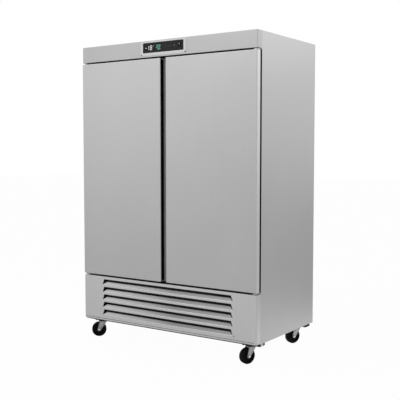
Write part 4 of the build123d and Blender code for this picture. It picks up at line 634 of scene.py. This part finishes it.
KEY_MARKS = {  # an arrow up, an arrow down and a dot
    1: [(0.0, 0.0022), (-0.0022, -0.0014), (0.0022, -0.0014)],
    2: [(0.0, -0.0022), (0.0022, 0.0014), (-0.0022, 0.0014)],
    3: rounded_outline(0.0032, 0.0032, 0.0016)[0],
}
KEY_MARK_DEPTH, KEY_MARK_PROUD = 0.0004, 0.0002
for number, outline in KEY_MARKS.items():
    key_low, key_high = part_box(f"control_key_{number}")
    key_x = middle(key_low, key_high)[0]
    mark = slab(outline, KEY_MARK_DEPTH) + np.array([key_x, key_low[1] - KEY_MARK_PROUD, control_z])
    piece(f"key_mark_{number}", [mark], key_print, f"key_{number}")

FRAME_SECTION = [(0.0, 0.0), (0.0022, 0.0), (0.0022, -0.0010), (0.0014, -0.0015), (0.0, -0.0010)]
FRAME_SIZE, FRAME_ROUND = (0.0275, 0.0335), 0.002
ROCKER_TILT = math.radians(5)
ROCKER_SLOPE = math.atan2(0.0014, 0.016)  # of half of the rocker's face
ROCKER_MARK_PLACE = (-0.004, -0.00335, 0.0085)  # from the pivot of the level rocker
ROCKER_MARK_SIZE, ROCKER_MARK_ROUND = (0.0030, 0.0080), 0.0010
rocker_low, rocker_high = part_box("rocker_switch")
rocker_x = middle(rocker_low, rocker_high)[0]
piece("rocker_frame", [carried(FRAME_SECTION, *rounded_outline(*FRAME_SIZE, FRAME_ROUND))
                       + np.array([rocker_x, fascia_y, control_z])],
      finishes["key_plastic"], "cabinet")
pivot = np.array(joints["rocker_tip"]["pos_m"])
mark_place = pivot + tipped(ROCKER_TILT) @ np.array(ROCKER_MARK_PLACE)
mark_outline = rounded_outline(*ROCKER_MARK_SIZE, ROCKER_MARK_ROUND)[0]
rocker_mark = slab(mark_outline, MARK_DEPTH) - np.array([0, MARK_PROUD, 0])
# the mark takes the glowing segment finish: a printed mark with a painted glow
piece("rocker_mark", copies(rocker_mark, [mark_place], tipped(ROCKER_TILT + ROCKER_SLOPE)), white_light,
      "rocker")


# Door seals: a bellows section round each door, which stands for the plain ring

SEAL_SECTION = [  # out from the ring's middle line, back from its front face
    (-0.0060, 0.0000), (0.0060, 0.0000), (0.0062, 0.0022), (0.0030, 0.0040), (0.0058, 0.0058),
    (0.0034, 0.0074), (0.0074, 0.0092), (0.0080, 0.0125), (0.0066, 0.0155), (-0.0066, 0.0155),
    (-0.0080, 0.0125), (-0.0074, 0.0092), (-0.0034, 0.0074), (-0.0058, 0.0058), (-0.0030, 0.0040),
    (-0.0062, 0.0022),
]
SEAL_HALF, SEAL_ROUND = 0.008, 0.012
for side in ("left", "right"):
    low, high = (np.array(corner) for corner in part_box(f"{side}_door_gasket"))
    size = high - low - 2 * SEAL_HALF
    ring = carried(SEAL_SECTION, *rounded_outline(size[0], size[2], SEAL_ROUND, 6))
    centre = middle(low, high)
    seal = piece(f"{side}_door_seal", [ring + np.array([centre[0], low[1], centre[2]])],
                 finishes["gasket_rubber"], f"{side}_door", sharp=60)
    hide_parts(f"{side}_door_gasket")


# Shelves: round bars and wires, which stand for the plain solids

SHELF_ROWS = 3
SHELF_GAP = 0.016  # between the left and the right shelves
ROD_RADIUS = 0.004
BRACE_OUT = 0.090  # of the two rods beside a shelf's middle
WIRE_RADIUS = 0.0025
WIRE_COUNT = 25
WIRE_SUNK = 0.001  # into the rods it is welded to
shelf_low, shelf_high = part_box("wire_shelves")
front_y, back_y = shelf_low[1] + ROD_RADIUS, shelf_high[1] - ROD_RADIUS
brace_y = [(front_y + back_y) / 2 + offset for offset in (-BRACE_OUT, BRACE_OUT)]
wire_up = ROD_RADIUS + WIRE_RADIUS - WIRE_SUNK
shelf_width = (shelf_high[0] - shelf_low[0] - SHELF_GAP) / 2
lowest, highest = shelf_low[2] + ROD_RADIUS, shelf_high[2] - wire_up - WIRE_RADIUS
bars_from, bars_to, wires_from, wires_to = [], [], [], []
for left_x in (shelf_low[0], shelf_high[0] - shelf_width):
    for z in np.linspace(lowest, highest, SHELF_ROWS):
        x0, x1 = left_x + ROD_RADIUS, left_x + shelf_width - ROD_RADIUS
        for y in (front_y, back_y, *brace_y):
            bars_from.append((left_x, y, z))
            bars_to.append((left_x + shelf_width, y, z))
        for x in (x0, x1):
            bars_from.append((x, shelf_low[1], z))
            bars_to.append((x, shelf_high[1], z))
        for x in np.linspace(x0, x1, WIRE_COUNT + 2)[1:-1]:
            wires_from.append((x, shelf_low[1], z + wire_up))
            wires_to.append((x, shelf_high[1], z + wire_up))
shelf_bars = rods(bars_from, bars_to, ROD_RADIUS) + rods(wires_from, wires_to, WIRE_RADIUS, 8)
shelves = piece("round_wire_shelves", shelf_bars, finishes["shelf_wire"], "cabinet", sharp=60)
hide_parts("wire_shelves")


# Fan guards: wire rings and spokes over the slots of the evaporator housing

GUARD_RINGS = (0.022, 0.038, 0.054, 0.070)
GUARD_WIRE = 0.0013
GUARD_SPOKES = 6
housing_low, housing_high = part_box("evaporator_cover")
guard_z = middle(housing_low, housing_high)[2]
turn = np.linspace(0, 2 * np.pi, 9)
spoke_turn = np.arange(GUARD_SPOKES) * 2 * np.pi / GUARD_SPOKES
spoke_way = np.stack([np.cos(spoke_turn), np.zeros(GUARD_SPOKES), np.sin(spoke_turn)], axis=-1)
guards = []
for name in ("evaporator_fan_left", "evaporator_fan_right"):
    fan_low, fan_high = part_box(name)
    hub = np.array([middle(fan_low, fan_high)[0], housing_low[1] - 2 * GUARD_WIRE, guard_z])
    for radius in GUARD_RINGS:
        wire = np.stack([radius + GUARD_WIRE * np.cos(turn), GUARD_WIRE * np.sin(turn)], axis=-1)
        guards += copies(turned(wire, 40), [hub], FRONTWARD)
    behind_rings = hub + np.array([0, GUARD_WIRE, 0])
    inner, outer = (behind_rings + GUARD_RINGS[ring] * spoke_way for ring in (0, -1))
    guards += rods(inner, outer, GUARD_WIRE, 8)
piece("fan_guards", guards, finishes["shelf_wire"], "cabinet", sharp=60)


# Floor, light and camera

WHITE = (1, 1, 1, 1)
FLOOR_HALF = 30.0
FLOOR_TONE, FLOOR_ROUGHNESS, FLOOR_GLOSS = (0.72, 0.72, 0.72, 1), 0.9, 0.1
CAMERA_LIFT = 0.975  # share of white that the camera sees
SHEET_LIFT, FAR_LIFT = 0.90, 0.15  # share of white that mirrored rays see on the sheet and far off
SHEET_MIDDLE, SHEET_NEAR, SHEET_FAR = (0.5, 0.6, 0.0), 0.5, 1.3
SKY_TONE, SKY_STRENGTH = (0.80, 0.80, 0.80, 1), 0.75


def flat_sheet(name, half, finish):
    """A level square at Z = 0, reaching half its side each way."""
    mesh = bpy.data.meshes.new(name)
    corners = np.array([(-1, -1, 0), (1, -1, 0), (1, 1, 0), (-1, 1, 0)], float) * half
    mesh.from_pydata(corners.tolist(), [], [(0, 1, 2, 3)])
    mesh.materials.append(finish)
    made = bpy.data.objects.new(name, mesh)
    bpy.context.collection.objects.link(made)


def seen_rays(tree):
    """1 for rays from the camera, and for mirrored or see-through rays that show the background."""
    rays = tree.nodes.new("ShaderNodeLightPath").outputs
    direct = maths(tree, "MAXIMUM", rays["Is Camera Ray"], rays["Is Glossy Ray"])
    return maths(tree, "MAXIMUM", direct, rays["Is Transmission Ray"]), rays["Is Camera Ray"]


def fall_off(tree, where, centre, near, far, high, low):
    """A value that falls evenly with the distance from a centre, from high at near to low at far."""
    away = add_node(tree, "ShaderNodeVectorMath", {0: where, 1: centre}, operation="DISTANCE")
    return ramp(tree, away.outputs["Value"], near, far, high, low)


def studio_floor():
    """Pale floor that keeps the object's shadow, and is lifted towards white for the camera.

    Mirrored rays see a white sheet beside the object, which falls off to the pale floor.
    """
    made, tree, shader, where = blank("studio_floor")
    feed(tree, shader["Base Color"], FLOOR_TONE)
    feed(tree, shader["Roughness"], FLOOR_ROUGHNESS)
    feed(tree, shader["Specular IOR Level"], FLOOR_GLOSS)
    seen, camera_ray = seen_rays(tree)
    mirrored = maths(tree, "SUBTRACT", seen, camera_ray)
    sheet = fall_off(tree, where, SHEET_MIDDLE, SHEET_NEAR, SHEET_FAR, SHEET_LIFT, FAR_LIFT)
    sheet_seen = maths(tree, "MULTIPLY", mirrored, sheet)
    lift = maths(tree, "MULTIPLY_ADD", camera_ray, CAMERA_LIFT, sheet_seen)
    glow = add_node(tree, "ShaderNodeEmission", {"Color": WHITE, "Strength": 1.0})
    mix = add_node(tree, "ShaderNodeMixShader", {
        0: lift, 1: tree.nodes["Principled BSDF"].outputs[0], 2: glow.outputs[0]})
    tree.links.new(mix.outputs[0], tree.nodes["Material Output"].inputs["Surface"])
    return made


flat_sheet("floor", FLOOR_HALF, studio_floor())

scene = bpy.context.scene
scene.view_settings.view_transform = "Standard"
world = bpy.data.worlds.new("studio")
scene.world = world
world.use_nodes = True
sky = world.node_tree
plain = sky.nodes["Background"]
feed(sky, plain.inputs["Color"], SKY_TONE)
feed(sky, plain.inputs["Strength"], SKY_STRENGTH)
white = add_node(sky, "ShaderNodeBackground", {"Color": WHITE, "Strength": 1.0})
sky_mix = add_node(sky, "ShaderNodeMixShader", {
    0: seen_rays(sky)[0], 1: plain.outputs[0], 2: white.outputs[0]})
sky.links.new(sky_mix.outputs[0], sky.nodes["World Output"].inputs["Surface"])


def soft_box(name, place, aim, size, watts):
    """An area lamp at a place, turned towards a point."""
    data = bpy.data.lights.new(name, "AREA")
    data.shape = "RECTANGLE"
    data.size, data.size_y = size
    data.energy = watts
    lamp = bpy.data.objects.new(name, data)
    bpy.context.collection.objects.link(lamp)
    lamp.location = place
    away = np.asarray(place, float) - np.asarray(aim, float)
    level = math.hypot(away[0], away[1])
    lamp.rotation_euler = (math.atan2(level, away[2]), 0, math.atan2(away[0], -away[1]))


soft_box("top_light", (-1.5, -2.5, 4.2), (0, 0, 1.2), (3.0, 2.0), 46)
soft_box("left_light", (-2.6, -3.2, 1.3), (-0.3, -0.4, 1.0), (1.2, 2.2), 2)
soft_box("side_light", (2.4, 2.4, 3.0), (0.7, 0.0, 1.8), (1.4, 1.4), 4)

CAMERA_PLACE = (2.8675, -4.1349, 1.2821)
CAMERA_DIP, CAMERA_TURN = 3.623, 34.509  # degrees below level, and round Z from looking to +Y
lens_data = bpy.data.cameras.new("photo_camera")
lens_data.sensor_width = 36.0
lens_data.lens = 66.42
camera = bpy.data.objects.new("photo_camera", lens_data)
bpy.context.collection.objects.link(camera)
camera.location = CAMERA_PLACE
camera.rotation_euler = (math.radians(90 - CAMERA_DIP), 0, math.radians(CAMERA_TURN))
scene.camera = camera
